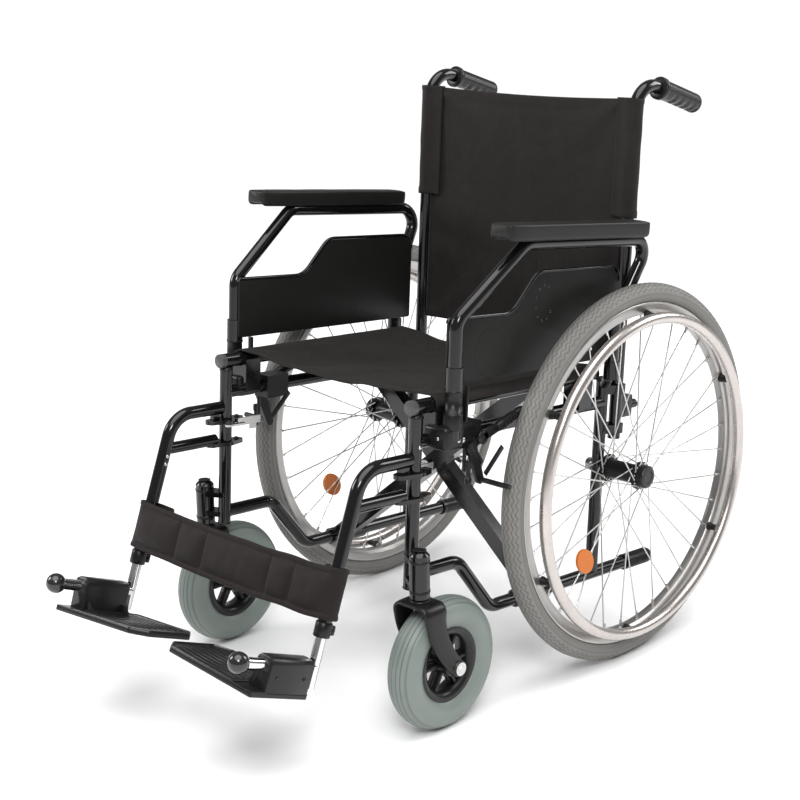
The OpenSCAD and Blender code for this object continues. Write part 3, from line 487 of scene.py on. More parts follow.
def makeCasterTyre(side, sign):
    s = casterTyre
    centre = Vector((sign * casterHub.x, casterHub.y, casterHub.z))
    profile, shadeMasks = [], []
    for i in range(97):
        a = math.radians(-150 + i * 300 / 96)
        dx = s["halfWidth"] * math.sin(a)
        r = s["radius"] - 25 + 25 * math.cos(a) * (0.97 if abs(math.degrees(a)) < 40 else 1)
        if r < s["seat"]:
            continue
        cut = 0.0
        if math.cos(a) > 0:
            for line in s["grooves"]:
                cut = max(cut, 1 - abs(dx - line * 1.25) / 0.9)
        profile.append((dx, r - s["cut"] * max(cut, 0)))
        shadeMasks.append(max(cut, 0))
    obj = wheelRing(f"{side}_caster_tread", profile, centre, 144, greenRubber)
    # painted shade: the groove attribute darkens the caster tyre's colour along the grooves on its crown
    attribute = obj.data.attributes.new("groove", "FLOAT", "POINT")
    lines = [line * 1.25 for line in s["grooves"]]
    values = []
    for v in obj.data.vertices:
        q = (v.co - centre) * 1000
        near = min(abs(q.x - line) for line in lines)
        outer = math.hypot(q.y, q.z) > s["radius"] - 18
        values.append(max(0, 1 - near / 0.9) if outer else 0.0)
    attribute.data.foreach_set("value", values)
    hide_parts(f"{side}_caster_tyre")
    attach(obj, f"{side}_caster_wheel")


def makeCasterRim(side, sign):
    s = casterRim
    centre = Vector((sign * casterHub.x, casterHub.y, casterHub.z))
    w = s["halfWidth"]
    ringProfile = [
        (-w, s["lip"]), (-w - 1.5, s["lip"] - 3), (-w, s["inner"] + 6), (-w + 4, s["inner"] + 1),
        (-2, s["inner"]),
        (2, s["inner"]), (w - 4, s["inner"] + 1), (w, s["inner"] + 6), (w + 1.5, s["lip"] - 3),
        (w, s["lip"]),
    ]
    parts = [keepSharp(wheelRing("rimRing", ringProfile, centre, 96, plastic), 60)]
    hubProfile = [(-25.5, 5.3), (-25.5, 11), (-23, s["hub"]), (23, s["hub"]), (25.5, 11), (25.5, 5.3)]
    parts.append(keepSharp(wheelRing("rimHub", hubProfile, centre, 64, plastic), 40))
    for k in range(s["spokes"]):
        a = 2 * math.pi * k / s["spokes"]
        out = Vector((0, math.cos(a), math.sin(a)))
        length = s["inner"] - s["hub"] + 4
        middle = centre + out * ((s["inner"] + s["hub"]) / 2000)
        directions = (sidewise, out, sidewise.cross(out))
        parts.append(roundedBox("rimSpoke", middle, directions, (20, length, 5), 1.6, plastic))
        parts.append(roundedBox("rimWeb", middle, directions, (6, length, 13), 2, plastic))
    obj = merged(f"{side}_caster_wheel_disc", parts)
    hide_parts(f"{side}_caster_rim")
    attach(obj, f"{side}_caster_wheel")


# Caster forks: one bent and tapering strap over the wheel, with the stem's collar on top
casterFork = {"halfGap": 28.2, "thick": 6.5, "top": 204, "cornerRadius": 13}


def makeCasterFork(side, sign):
    s = casterFork
    base = Vector((sign * stem.x, stem.y, 0))
    trail = (casterHub.y - stem.y) * 1000
    centreX = s["halfGap"] + s["thick"] / 2
    path = []
    corner = s["cornerRadius"]
    for i in range(4):
        path.append((i * (centreX - corner) / 4, 0, s["top"], 23, 0))
    for i in range(7):
        a = math.radians(i * 15)
        path.append((centreX - corner + corner * math.sin(a), 0, s["top"] - corner + corner * math.cos(a),
            23 - i * 0.4, i * 15))
    drop = s["top"] - corner - casterHub.z * 1000
    for i in range(1, 15):
        t = i / 14
        bow = trail * (t ** 1.9)
        path.append((centreX, bow, s["top"] - corner - drop * t, 20.6 - 7.4 * t ** 0.8, 90))
    rings = []
    for mirrored in (-1, 1):
        run = list(reversed(path)) if mirrored < 0 else path[1:]
        for x, y, z, half, lean in run:
            a = math.radians(lean)
            normal = Vector((math.sin(a) * mirrored, 0, math.cos(a)))
            tangentY = Vector((0, 1, 0))
            if lean == 90:
                t = (s["top"] - corner - z) / drop
                slope = trail * 1.9 * t ** 0.9 / drop
                tangentY = Vector((0, 1, slope)).normalized()
            ring = []
            for k in range(16):
                c = 2 * math.pi * k / 16
                cy = math.copysign(abs(math.cos(c)) ** 0.6, math.cos(c))
                cz = math.copysign(abs(math.sin(c)) ** 0.6, math.sin(c))
                ring.append(base + (Vector((x * mirrored, y, z)) + tangentY * (half * cy) + normal
                    * (s["thick"] / 2 * cz)) / 1000)
            rings.append(ring)
    strap = band("forkStrap", rings, satinBlack, caps=True)
    parts = [strap]
    for m in (-1, 1):
        eye = base + Vector((m * centreX, trail, casterHub.z * 1000)) / 1000
        parts.append(lathe("forkEye", eye - Vector((m * 0.0034, 0, 0)), Vector((m, 0, 0)),
            [(0, 5), (0, 13), (5.8, 13), (6.8, 12), (6.8, 5)], satinBlack, 32))
    top = base + Vector((0, 0, (s["top"] + 2.4) / 1000))
    parts.append(lathe("forkCollar", top, skyward, [(0, 15), (1.6, 15), (3.4, 12.5), (3.6, 6)],
        satinBlack, 40))
    parts.append(lathe("forkStem", top, skyward, [(0, 5.9), (60, 5.9)], satinBlack, 24))
    obj = merged(f"{side}_fork_strap", parts)
    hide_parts(f"{side}_caster_fork")
    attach(obj, f"{side}_caster_fork")


# Wheel hardware placed along circles by one shared geometry tree
def scatterTree():
    tree = bpy.data.node_groups.new("placeOnPoints", "GeometryNodeTree")
    face = tree.interface
    face.new_socket("Points", in_out="INPUT", socket_type="NodeSocketGeometry")
    face.new_socket("Shape", in_out="INPUT", socket_type="NodeSocketObject")
    face.new_socket("Finish", in_out="INPUT", socket_type="NodeSocketMaterial")
    face.new_socket("Seed", in_out="INPUT", socket_type="NodeSocketInt").default_value = 3
    face.new_socket("Spread", in_out="INPUT", socket_type="NodeSocketFloat").default_value = 0.0
    face.new_socket("Geometry", in_out="OUTPUT", socket_type="NodeSocketGeometry")
    source, result = tree.nodes.new("NodeGroupInput"), tree.nodes.new("NodeGroupOutput")
    shape = tree.nodes.new("GeometryNodeObjectInfo")
    aimed = tree.nodes.new("GeometryNodeInputNamedAttribute")
    aimed.data_type = "FLOAT_VECTOR"
    aimed.inputs["Name"].default_value = "aim"
    align = tree.nodes.new("FunctionNodeAlignRotationToVector")
    align.axis = "Z"
    jitter = tree.nodes.new("FunctionNodeRandomValue")
    jitter.data_type = "FLOAT"
    place = tree.nodes.new("GeometryNodeInstanceOnPoints")
    real = tree.nodes.new("GeometryNodeRealizeInstances")
    finish = tree.nodes.new("GeometryNodeSetMaterial")
    size = tree.nodes.new("ShaderNodeMath")
    size.operation = "ADD"
    size.inputs[0].default_value = 1
    links = tree.links
    links.new(source.outputs["Shape"], shape.inputs["Object"])
    links.new(aimed.outputs["Attribute"], align.inputs["Vector"])
    links.new(source.outputs["Points"], place.inputs["Points"])
    links.new(shape.outputs["Geometry"], place.inputs["Instance"])
    links.new(align.outputs["Rotation"], place.inputs["Rotation"])
    links.new(source.outputs["Spread"], jitter.inputs[3])
    links.new(source.outputs["Seed"], jitter.inputs["Seed"])
    links.new(jitter.outputs[1], size.inputs[1])
    links.new(size.outputs[0], place.inputs["Scale"])
    links.new(place.outputs["Instances"], real.inputs["Geometry"])
    links.new(real.outputs["Geometry"], finish.inputs["Geometry"])
    links.new(source.outputs["Finish"], finish.inputs["Material"])
    links.new(finish.outputs["Geometry"], result.inputs["Geometry"])
    return tree


placeOnPoints = scatterTree()


def scatter(name, spots, shape, material, body):  # spots is a list of (point, direction)
    mesh = bpy.data.meshes.new(name)
    mesh.from_pydata([tuple(p) for p, _ in spots], [], [])
    aims = [c for _, d in spots for c in d.normalized()]
    mesh.attributes.new("aim", "FLOAT_VECTOR", "POINT").data.foreach_set("vector", aims)
    obj = link(bpy.data.objects.new(name, mesh))
    modifier = obj.modifiers.new("place", "NODES")
    modifier.node_group = placeOnPoints
    sockets = {i.name: i.identifier for i in placeOnPoints.interface.items_tree if i.in_out == "INPUT"}
    modifier[sockets["Shape"]] = shape
    modifier[sockets["Finish"]] = material
    modifier[sockets["Seed"]] = 3
    modifier[sockets["Spread"]] = 0.0
    baked(obj)
    if not obj.data.materials:
        obj.data.materials.append(material)
    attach(obj, body)
    return obj


def pattern(name, profile, steps=20, square=0.0):  # a small turned shape along +Z, used as an instance
    obj = lathe(name, Vector((0, 0, 0)), skyward, profile, paint, steps)
    return keepSharp(obj, 40)


hexHead = pattern("hexHead", [(-0.5, 5.4), (0, 5.4), (0.2, 5.6), (4.2, 5.6), (5, 4.9), (5, 0.01)], 6)
domeHead = pattern("domeHead", [(-0.5, 4.3), (0, 4.4), (0.8, 4.3), (2.2, 3.4), (3, 1.9), (3.2, 0.01)], 20)
smallScrew = pattern("smallScrew", [(-0.4, 2.9), (0, 3), (0.7, 2.8), (1.4, 1.9), (1.6, 0.01)], 16)
nipple = pattern("nipple", [(-3, 2.6), (0, 2.7), (1, 2.2), (9, 1.9), (10, 1.5)], 10)
standoff = pattern("standoff", [(-1, 7), (0, 7.2), (3, 6.6), (6, 5.3), (18, 5.3), (22, 6.2), (23, 6.2)], 20)
spokeHead = pattern("spokeHead", [(-0.5, 1.9), (0.6, 1.9), (1.3, 1.1), (1.4, 0.01)], 10)
wheelBits = {"rimInner": 252, "nippleCount": 36, "standoffCount": 6, "handrimAt": 34,
    "handrimRadius": 250, "flange": 18}


def makeWheelBits(side, sign):
    s = wheelBits
    centre = Vector((sign * axle.x, axle.y, axle.z))
    body = f"{side}_wheel"
    spots = []
    for k in range(s["nippleCount"]):
        a = 2 * math.pi * k / s["nippleCount"]
        out = rearward * math.cos(a) + upward * math.sin(a)
        spots.append((centre + out * (s["rimInner"] / 1000), -out))
    scatter(f"{side}_nipples", spots, nipple, steel, body)
    spots = []
    for k in range(s["standoffCount"]):
        a = 2 * math.pi * (k + 0.5) / s["standoffCount"]
        out = rearward * math.cos(a) + upward * math.sin(a)
        start = centre + out * 0.2524 + Vector((sign * 0.0105, 0, 0))
        end = centre + out * 0.2508 + Vector((sign * s["handrimAt"] / 1000, 0, 0))
        spots.append((start, end - start))
    scatter(f"{side}_standoffs", spots, standoff, plastic, body)
    spots = []
    for flangeX in (flangeIn + 4.2, flangeOut + 4.2):
        for k in range(18):
            a = 2 * math.pi * (k + 0.5) / 18
            out = rearward * math.cos(a) + upward * math.sin(a)
            spots.append((Vector((sign * flangeX / 1000, axle.y, axle.z)) + out * (s["flange"] / 1000),
                Vector((sign, 0, 0))))
    scatter(f"{side}_spoke_heads", spots, spokeHead, steel, body)
    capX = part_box(f"{side}_rear_hub")[1 if sign > 0 else 0].x
    cap = lathe(f"{side}_hub_cap", Vector((capX - sign * 0.001, axle.y, axle.z)), Vector((sign, 0, 0)),
                [(0, 17.6), (1, 17.6), (3, 16), (3.6, 11), (2.4, 10.4), (2.4, 0.01)], plastic, 48)
    keepSharp(cap, 40)
    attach(cap, body)


flangeIn = frameX + 20
flangeOut = wheelX + 16
for side, sign in sides:
    makeRearTyre(side, sign)
    makeCasterTyre(side, sign)
    makeCasterRim(side, sign)
    makeCasterFork(side, sign)
    makeWheelBits(side, sign)
print("stage: wheels and casters")


# Push grips: moulded rubber with finger scallops underneath and a collar at the open end
pushGrip = {"corner": (214, 26, 604), "end": (214, 181, 566), "length": 104, "radius": 15.4,
    "scallop": 0.17, "pitch": 17}


def makePushGrip(side, sign):
    s = pushGrip
    corner = mm(s["corner"][0] * sign, *s["corner"][1:])
    end = mm(s["end"][0] * sign, *s["end"][1:])
    along = (end - corner).normalized()
    start = end - along * ((s["length"] - 4) / 1000)
    length = s["length"]

    def shape(d, a):
        down = max(0.0, math.sin(a))
        scallop = s["scallop"] * (0.5 + 0.5
            * math.cos(2 * math.pi * (d - 30) / s["pitch"])) if 26 < d < 98 else 0
        flute = 0.012 * math.cos(12 * a) if 12 < d < 96 else 0
        return 1 - scallop * down ** 1.5 + flute + 0.03 * down

    profile = [(0, 10.2), (0, 16.5), (1, 17.6), (7, 17.6), (8.5, 16.8), (10, s["radius"])]
    profile += [(10 + i * 1.5, s["radius"]) for i in range(1, 60)]
    profile += [(length - 3, s["radius"] - 0.4), (length - 1, s["radius"] - 1.6),
        (length, s["radius"] - 4), (length + 0.2, 0.01)]
    grip = lathe(f"{side}_grip_rubber", start, along, profile, gripRubber, 64, shape)
    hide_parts(f"{side}_push_grip")
    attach(grip, f"{side}_frame")


# Tipping lever caps, with rings round them
tipCap = {"start": 85, "length": 68, "radius": 12.9, "below": -180, "rings": 9, "ringPitch": 5.6}


def makeTipCap(side, sign):
    s = tipCap
    profile = [(0, 10.1), (0, s["radius"]), (2, s["radius"] + 0.1)]
    for i in range(s["rings"]):
        base = 8 + i * s["ringPitch"]
        profile += [(base, s["radius"]), (base + 0.8, s["radius"] - 0.9), (base + 2, s["radius"] - 0.9),
            (base + 2.8, s["radius"])]
    length = s["length"]
    profile += [(length - 6, s["radius"]), (length - 2, s["radius"] - 1.4), (length, s["radius"] - 4),
        (length + 0.2, 0.01)]
    cap = keepSharp(lathe(f"{side}_tip_rubber", mm(sign * frameX, s["start"], s["below"]), rearward,
        profile, gripRubber, 40), 40)
    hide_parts(f"{side}_tip_cap")
    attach(cap, f"{side}_frame")


# Backrest: a stretched panel between two sleeves sewn round the back canes
backrest = {"caneX": 214, "caneY": 26, "sleeve": 12.6, "seam": 184, "top": 573, "sleeveFoot": 392,
    "foot": 180, "reach": 203,
            "sag": 9, "wrinkle": 4.2, "thick": 1.6}


def makeBackPanel():
    s = backrest
    across, high = 84, 90
    half = s["reach"]
    verts, faces = [], []
    for j in range(high + 1):
        t = j / high
        for i in range(across + 1):
            u = 2 * i / across - 1
            x = u * half
            dip = 5 * (1 - u * u)
            z = s["foot"] + (s["top"] - dip - s["foot"]) * t
            belly = s["sag"] * (1 - u * u) * (0.35 + 0.65 * math.sin(math.pi * min(1, t * 1.1)) ** 0.7)
            free = (1 - u ** 6)
            folds = noise.noise(Vector((x * 0.016 + z * 0.004, z * 0.0035, 1.7))) * s["wrinkle"] * 1.5
            fine = noise.noise(Vector((x * 0.05 + z * 0.02, z * 0.012, 5.1))) * s["wrinkle"] * 0.35
            tension = 0.0
            for cx, cz in ((-half, s["top"]), (half, s["top"]), (-half, s["foot"]), (half, s["foot"])):
                gap = math.hypot(x - cx, z - cz)
                tension += 3.2 * math.exp(-gap / 110) * math.sin(8 * math.atan2(abs(z - cz), abs(x - cx))
                    + 0.6)
            hem = -0.9 if z > s["top"] - dip - 16 or z < s["foot"] + 14 else 0
            verts.append(mm(x, s["caneY"] + belly + (folds + fine + tension) * free + hem, z))
    row = across + 1
    for j in range(high):
        for i in range(across):
            a = j * row + i
            faces.append((a, a + 1, a + row + 1, a + row))
    panel = meshObject("back_panel", verts, faces, fabric)
    modify(panel, "SOLIDIFY", thickness=s["thick"] / 1000, offset=0)
    fixNormals(baked(panel))
    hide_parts("back_sling")
    return panel


def makeBackSleeve(side, sign):
    s = backrest
    rows, columns = 60, 0
    verts, faces = [], []
    for j in range(rows + 1):
        t = j / rows
        z = s["sleeveFoot"] + (s["top"] + 1 - s["sleeveFoot"]) * t
        edge = 0.7 if t < 0.06 or t > 0.95 else 0
        line = [(182.5, 2.4), (187, 2.6), (191, 3.4), (196, 5.2), (202, 8)]
        for i in range(33):
            a = math.radians(-122 + i * 244 / 32)
            crease = noise.noise(Vector((a * 1.3 + sign * 3, z * 0.03, 2.2))) * 0.9
            r = s["sleeve"] + edge + crease
            line.append((s["caneX"] + r * math.cos(a), -r * math.sin(a)))
        line += [(202, -8), (196, -5.2), (191, -3.4), (187, -2.6), (182.5, -2.4)]
        columns = len(line)
        for x, y in line:
            dent = -0.5 if abs(x - s["seam"] - 3) < 1 else 0
            verts.append(mm(sign * x, s["caneY"] + y * (1 + edge * 0.05) + math.copysign(dent, y), z))
    for j in range(rows):
        for i in range(columns - 1):
            a = j * columns + i
            faces.append((a, a + 1, a + columns + 1, a + columns))
    sleeve = meshObject(f"{side}_sleeve", verts, faces, fabric)
    modify(sleeve, "SOLIDIFY", thickness=0.0014, offset=0)
    fixNormals(baked(sleeve))
    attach(sleeve, f"{side}_frame")
    return sleeve


# Seat: one sheet over both rails, sagging between them and gathered towards its corners
seat = {"rail": 205, "railHeight": 152, "wrap": 12.9, "front": -397, "rear": -34, "sag": 15,
    "wrinkle": 3.4, "thick": 2.4}


def makeSeat():
    s = seat
    across, long = 110, 90
    tuck = 12
    verts, faces = [], []
    for j in range(long + 1):
        t = j / long
        y = s["front"] + (s["rear"] - s["front"]) * t
        sag = s["sag"] * (0.8 + 0.35 * math.sin(math.pi * t))
        for i in range(across + 1):
            if i < tuck or i > across - tuck:
                m = -1 if i < tuck else 1
                k = (i if i < tuck else across - i) / tuck
                a = math.radians(-4 + 94 * k)
                ruck = 0.5 * noise.noise(Vector((a * 2, y * 0.04, 3.0 * m)))
                x = m * (s["rail"] + (s["wrap"] + ruck) * math.cos(a))
                z = s["railHeight"] + (s["wrap"] + ruck) * math.sin(a)
                yy = y
            else:
                u = 2 * (i - tuck) / (across - 2 * tuck) - 1
                x = u * s["rail"]
                free = 1 - u ** 4
                folds = noise.noise(Vector((x * 0.012, y * 0.009, 4.4))) * s["wrinkle"] * 1.6
                fine = noise.noise(Vector((x * 0.035 + y * 0.01, y * 0.045, 8.8))) * s["wrinkle"] * 0.5
                tension = 0.0
                for cx, cy in ((-s["rail"], s["front"]), (s["rail"], s["front"]), (-s["rail"], s["rear"]),
                    (s["rail"], s["rear"])):
                    gap = math.hypot(x - cx, y - cy)
                    tension += 4.2 * math.exp(-gap / 85) * math.sin(9
                        * math.atan2(abs(y - cy), abs(x - cx)) + 0.9)
                hem = 0.9 if t < 0.05 or t > 0.95 else (-0.7 if t < 0.06 else 0)
                z = s["railHeight"] + s["wrap"] - sag * (1 - u * u) ** 1.15 + (folds + fine
                    + tension) * free + hem
                yy = y + (4 * (1 - u * u) if t == 0 else 0)
            verts.append(mm(x, yy, z))
    row = across + 1
    for j in range(long):
        for i in range(across):
            a = j * row + i
            faces.append((a, a + 1, a + row + 1, a + row))
    sheet = meshObject("seat_sheet", verts, faces, fabric)
    modify(sheet, "SOLIDIFY", thickness=s["thick"] / 1000, offset=0)
    fixNormals(baked(sheet))
    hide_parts("seat_sling")
    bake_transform(sheet)
    return sheet


# Calf strap: five quilted pockets with hems above and below, carried round both hanger tubes
calf = {"corner": (0, -527, 78), "lean": 17.3, "along": 171, "tube": 205, "wrap": 14.2,
    "seams": (-110, -50, 92, 140),
        "sag": 4, "base": 3.2, "puff": 12}
lean = math.radians(calf["lean"])
tubeDown = (rearward * -math.sin(lean) - upward * math.cos(lean)).normalized()
tubeFront = (rearward * -math.cos(lean) + upward * math.sin(lean)).normalized()


def calfPoint(x, f, h):  # x across, f ahead of the tubes' line and h up along them, in mm
    return mm(*calf["corner"]) + tubeDown * ((calf["along"]
        - h) / 1000) + tubeFront * (f / 1000) + Vector((x / 1000, 0, 0))


def makeCalfStrap():
    s = calf
    path = []
    for x in range(166, int(s["tube"]), 6):
        path.append((-x, -s["wrap"], 0, -1))
    for i in range(17):
        a = math.radians(-90 - i * 180 / 16)
        path.append((-s["tube"] + s["wrap"] * math.cos(a), s["wrap"] * math.sin(a), math.cos(a),
            math.sin(a)))
    front = []
    steps = 130
    for i in range(1, steps):
        x = -s["tube"] + 2 * s["tube"] * i / steps
        front.append((x, s["wrap"], 0, 1))
    path += front
    mirrored = [(-x, f, -nx, nf) for x, f, nx, nf in reversed(path[: len(path) - len(front)])]
    path += mirrored
    heights = [-36, -35.2, -33, -30, -28.2, -27.2, -26.2, -23, -17, -9, 0, 9, 17, 23, 26.2, 27.2, 28.2,
        30, 33, 35.2, 36]
    seams = [-s["tube"] - 6, *s["seams"], s["tube"] + 6]
    rings = []
    for x, f, nx, nf in path:
        onFront = f > 0 and abs(x) <= s["tube"] + 6
        gap = min(abs(x - q) for q in s["seams"]) if onFront else 30
        spread = 0.0
        if onFront:
            for a, b in zip(seams, seams[1:]):
                if a <= x <= b:
                    q = (x - a) / (b - a)
                    spread = (1 - abs(2 * q - 1) ** 3) ** 0.8
        sag = -s["sag"] * (1 - (x / s["tube"]) ** 2) if f > 0 and abs(x) < s["tube"] else 0
        outer, inner = [], []
        for h in heights:
            k = abs(h)
            body = (1 - (min(k, 27) / 27) ** 4) if k < 27.2 else 0
            hem = 1.1 if 28.5 < k < 35.5 else 0
            edge = 0.35 if k > 35.5 else 1
            pull = 0.9 * math.sin(h * 0.42 + 0.03 * x) * math.exp(-gap / 9) * body
            ruffle = pull + noise.noise(Vector((x * 0.05, h * 0.06,
                7.7))) * 2.2 * body + noise.noise(Vector((x * 0.12, h * 0.03, 2.7))) * 0.5
            pucker = -2.6 * math.exp(-gap / 2.6) * (1 if k < 28 else 0.35)
            w = (s["base"] / 2 + hem + s["puff"] * 0.6 * spread * body) * edge + pucker * edge
            back = (s["base"] / 2 + hem + s["puff"] * 0.25 * spread * body) * edge
            lift = sag + 1.6 * noise.noise(Vector((x * 0.02, 0, 6.1)))
            outer.append(calfPoint(x + nx * (w + ruffle * 0.5), f + nf * (w + ruffle * 0.5), h + lift))
            inner.append(calfPoint(x - nx * back, f - nf * back, h + lift))
        rings.append(outer + list(reversed(inner)))
    strap = band("calf_pad", rings, webbing, caps=True)
    modify(strap, "SUBSURF", levels=1, render_levels=1)
    fixNormals(baked(strap))
    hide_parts("calf_strap")
    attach(strap, "left_hanger")
    return strap


# Armrest pads: vinyl over foam, a little crowned, with piping round the top edge
armPad = {"x": 257, "rear": (42, 362), "front": (-258, 374), "set": 45, "length": 323, "width": 44.4,
    "height": 20.6, "lift": 10.4,
          "taper": 34, "piping": 1.2, "skirt": 4.5}


def makeArmPad(side, sign):
    s = armPad
    rear, front = Vector(s["rear"]), Vector(s["front"])
    run = (front - rear).normalized()
    up = Vector((run.y, -run.x)) if run.x < 0 else Vector((-run.y, run.x))
    if up.y < 0:
        up = -up

    def place(d, x, h):  # d ahead of the pad's rear end, x across, h above its underside
        p = rear + run * (s["set"] + d) + up * (s["lift"] + h)
        return mm(sign * (s["x"] + x), p.x, p.y)

    rings = []
    stations = [0, 0.5, 2, 4.5, 8] + [8 + i * (s["length"] - 40) / 34 for i in range(1, 35)] + \
               [s["length"] - 26, s["length"] - 18, s["length"] - 11, s["length"] - 6, s["length"] - 3,
                   s["length"] - 1, s["length"]]
    for d in stations:
        endRear = min(1, max(0, d) / 8)
        endFront = min(1, max(0, s["length"] - d) / 9)
        ease = min(math.sqrt(1 - (1 - endRear) ** 2), math.sqrt(max(0.0, 1 - (1 - endFront) ** 2)))
        narrow = max(0, (d - (s["length"] - s["taper"])) / s["taper"])
        half = s["width"] / 2 - 3.5 * (1 - ease) - 3.2 * narrow ** 1.5
        crown = 0.9 * ease
        ring = []
        for i in range(72):
            a = 2 * math.pi * i / 72
            cx = math.copysign(abs(math.cos(a)) ** 0.28, math.cos(a))
            cz = math.copysign(abs(math.sin(a)) ** 0.28, math.sin(a))
            x = half * cx
            h = s["height"] / 2 * (1 + cz * (0.82 + 0.18 * ease))
            bulge = 0.5 * math.sin(math.pi * min(1, max(0, h / s["height"]))) * abs(cx) * cx
            if cz > 0.9:
                h += crown * (1 - (x / half) ** 2) - 0.9
            dent = noise.noise(Vector((x * 0.05, d * 0.02, sign * 4.0))) * 0.35
            skirt = -s["skirt"] * max(0, -cz) * min(1, max(0, abs(x) - 13) / 3) * ease
            ring.append(place(d, x + bulge, h + (dent if cz > 0 else skirt)))
        rings.append(ring)
    parts = [band("padSkin", rings, vinyl, caps=True)]
    piping = []
    loop = []
    half, length, radius = s["width"] / 2 - 0.9, s["length"] - 2, 7
    for cx, cd, start in ((half - radius, length - radius, 0), (-half + radius, length - radius, 90),
        (-half + radius, 2 + radius, 180),
                          (half - radius, 2 + radius, 270)):
        for i in range(9):
            a = math.radians(start + i * 90 / 8)
            loop.append((cx + radius * math.cos(a), cd + radius * math.sin(a), math.cos(a), math.sin(a)))
    for x, d, nx, nd in loop + loop[:1]:
        narrow = max(0, (d - (s["length"] - s["taper"])) / s["taper"])
        x *= 1 - 0.14 * narrow ** 1.5
        ring = []
        for k in range(8):
            c = 2 * math.pi * k / 8
            ring.append(place(d + nd * s["piping"] * math.cos(c), x + nx * s["piping"] * math.cos(c),
                s["height"] - 3.4 + s["piping"] * math.sin(c)))
        piping.append(ring)
    parts.append(band("padPiping", piping, vinyl))
    pad = merged(f"{side}_arm_pad", parts)
    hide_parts(f"{side}_armrest_pad")
    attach(pad, f"{side}_armrest")


# Side panels: moulded plate with a glossy lip along its top edge, a faint disc and a ring of slots
panel = {"inner": 220.2, "outer": 224.6, "lip": 3.1, "disc": (-293, 219), "discRadius": 35,
    "slots": (-181, 279), "slotCount": 9}
panelOutline = [(-386, 181, 4), (-386, 274, 5), (-250, 270, 38), (-196, 326, 30), (1, 320, 24), (1, 178, 4)]


def roundedOutline(corners, steps=8):
    points = []
    n = len(corners)
    for i, (x, z, r) in enumerate(corners):
        b = Vector((x, z))
        u = (Vector(corners[i - 1][:2]) - b).normalized()
        v = (Vector(corners[(i + 1) % n][:2]) - b).normalized()
        half = u.angle(v) / 2
        o = b + (u + v).normalized() * (r / math.sin(half))
        first = b + u * (r / math.tan(half)) - o
        last = b + v * (r / math.tan(half)) - o
        a0, a1 = math.atan2(first.y, first.x), math.atan2(last.y, last.x)
        turnBy = (a1 - a0 + math.pi) % (2 * math.pi) - math.pi
        for k in range(steps + 1):
            a = a0 + turnBy * k / steps
            points.append(o + Vector((math.cos(a), math.sin(a))) * r)
    return points


def plate(name, outline, place, low, high, bevel, material):  # a flat plate with softened edges
    count = len(outline)
    ends = list(zip(outline, outline[1:] + outline[:1]))
    turning = -1 if sum(a.x * b.y - b.x * a.y for a, b in ends) < 0 else 1
    soft = bevel * 0.3
    rings = []
    for h, inset in ((low, bevel), (low + soft, soft), (low + bevel, 0), (high - bevel, 0),
        (high - soft, soft), (high, bevel)):
        ring = []
        for i in range(count):
            along = (outline[(i + 1) % count] - outline[i - 1]).normalized()
            ring.append(outline[i] - Vector((along.y, -along.x)) * (inset * turning))
        rings.append([place(p.x, p.y, h) for p in ring])
    return keepSharp(band(name, rings, material, caps=True), 40)


def makeSidePanel(side, sign):
    s = panel
    outline = roundedOutline(panelOutline)
    parts = [plate("panelPlate", outline, lambda y, z, x: mm(sign * x, y, z), s["inner"],
        s["outer"] - 0.6, 0.8, panelPlastic)]
    lipLine = [p for p in outline if p.y > 250]
    rings = []
    for i, p in enumerate(lipLine):
        a, b = lipLine[max(0, i - 1)], lipLine[min(len(lipLine) - 1, i + 1)]
        tangent = (b - a).normalized()
        normal = Vector((-tangent.y, tangent.x))
        ring = []
        for k in range(12):
            c = 2 * math.pi * k / 12
            q = p + normal * (s["lip"] * math.sin(c))
            ring.append(mm(sign * ((s["inner"] + s["outer"]) / 2 + s["lip"] * math.cos(c)), q.x, q.y))
        rings.append(ring)
    parts.append(band("panelLip", rings, paint, caps=True))
    disc = []
    for i in range(97):
        a = 2 * math.pi * (i % 96) / 96
        ring = []
        for dr, dx in ((-1.2, 0), (-0.5, 0.45), (0.5, 0.45), (1.2, 0)):
            r = s["discRadius"] + dr
            ring.append(mm(sign * (s["outer"] - 0.75 + dx), s["disc"][0] + r * math.cos(a),
                s["disc"][1] + r * math.sin(a)))
        disc.append(ring)
    parts.append(band("panelDisc", disc, panelPlastic))
    made = merged(f"{side}_panel_moulding", parts)
    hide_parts(f"{side}_side_panel")
    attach(made, f"{side}_armrest")
    spots = []
    for k in range(s["slotCount"]):
        a = math.radians(60 + k * 300 / s["slotCount"])
        spots.append((mm(sign * (s["outer"] - 0.9), s["slots"][0] + 19 * math.cos(a),
            s["slots"][1] + 26 * math.sin(a)), Vector((sign, 0, 0))))
    scatter(f"{side}_panel_slots", spots, slotPill, paint, f"{side}_armrest")
    screws = [(mm(sign * (s["outer"] - 0.6), -378, z), Vector((sign, 0, 0))) for z in (196, 262)]
    scatter(f"{side}_panel_screws", screws, smallScrew, steel, f"{side}_armrest")


# Footplates: ribbed tread on a plate, and a soft-cornered block round the hinge bar
footplate = {"barMiddle": 69.5, "blockStart": 13.3, "blockEnd": 94, "blockHalf": 16.8, "top": 13.8,
    "low": -40.8, "reach": 178,
             "plateThick": 8.6, "ribs": 8}
tiltCos, tiltSin = math.cos(math.radians(4)), math.sin(math.radians(4))


def platePoint(sign, x, v,
    z):  # x outward, v ahead of the foot tube and z above the bar, in the plate's axes
    return footPoint(sign * (frameX + x * tiltCos + z * tiltSin), v - footplate["barMiddle"],
        -x * tiltSin + z * tiltCos)


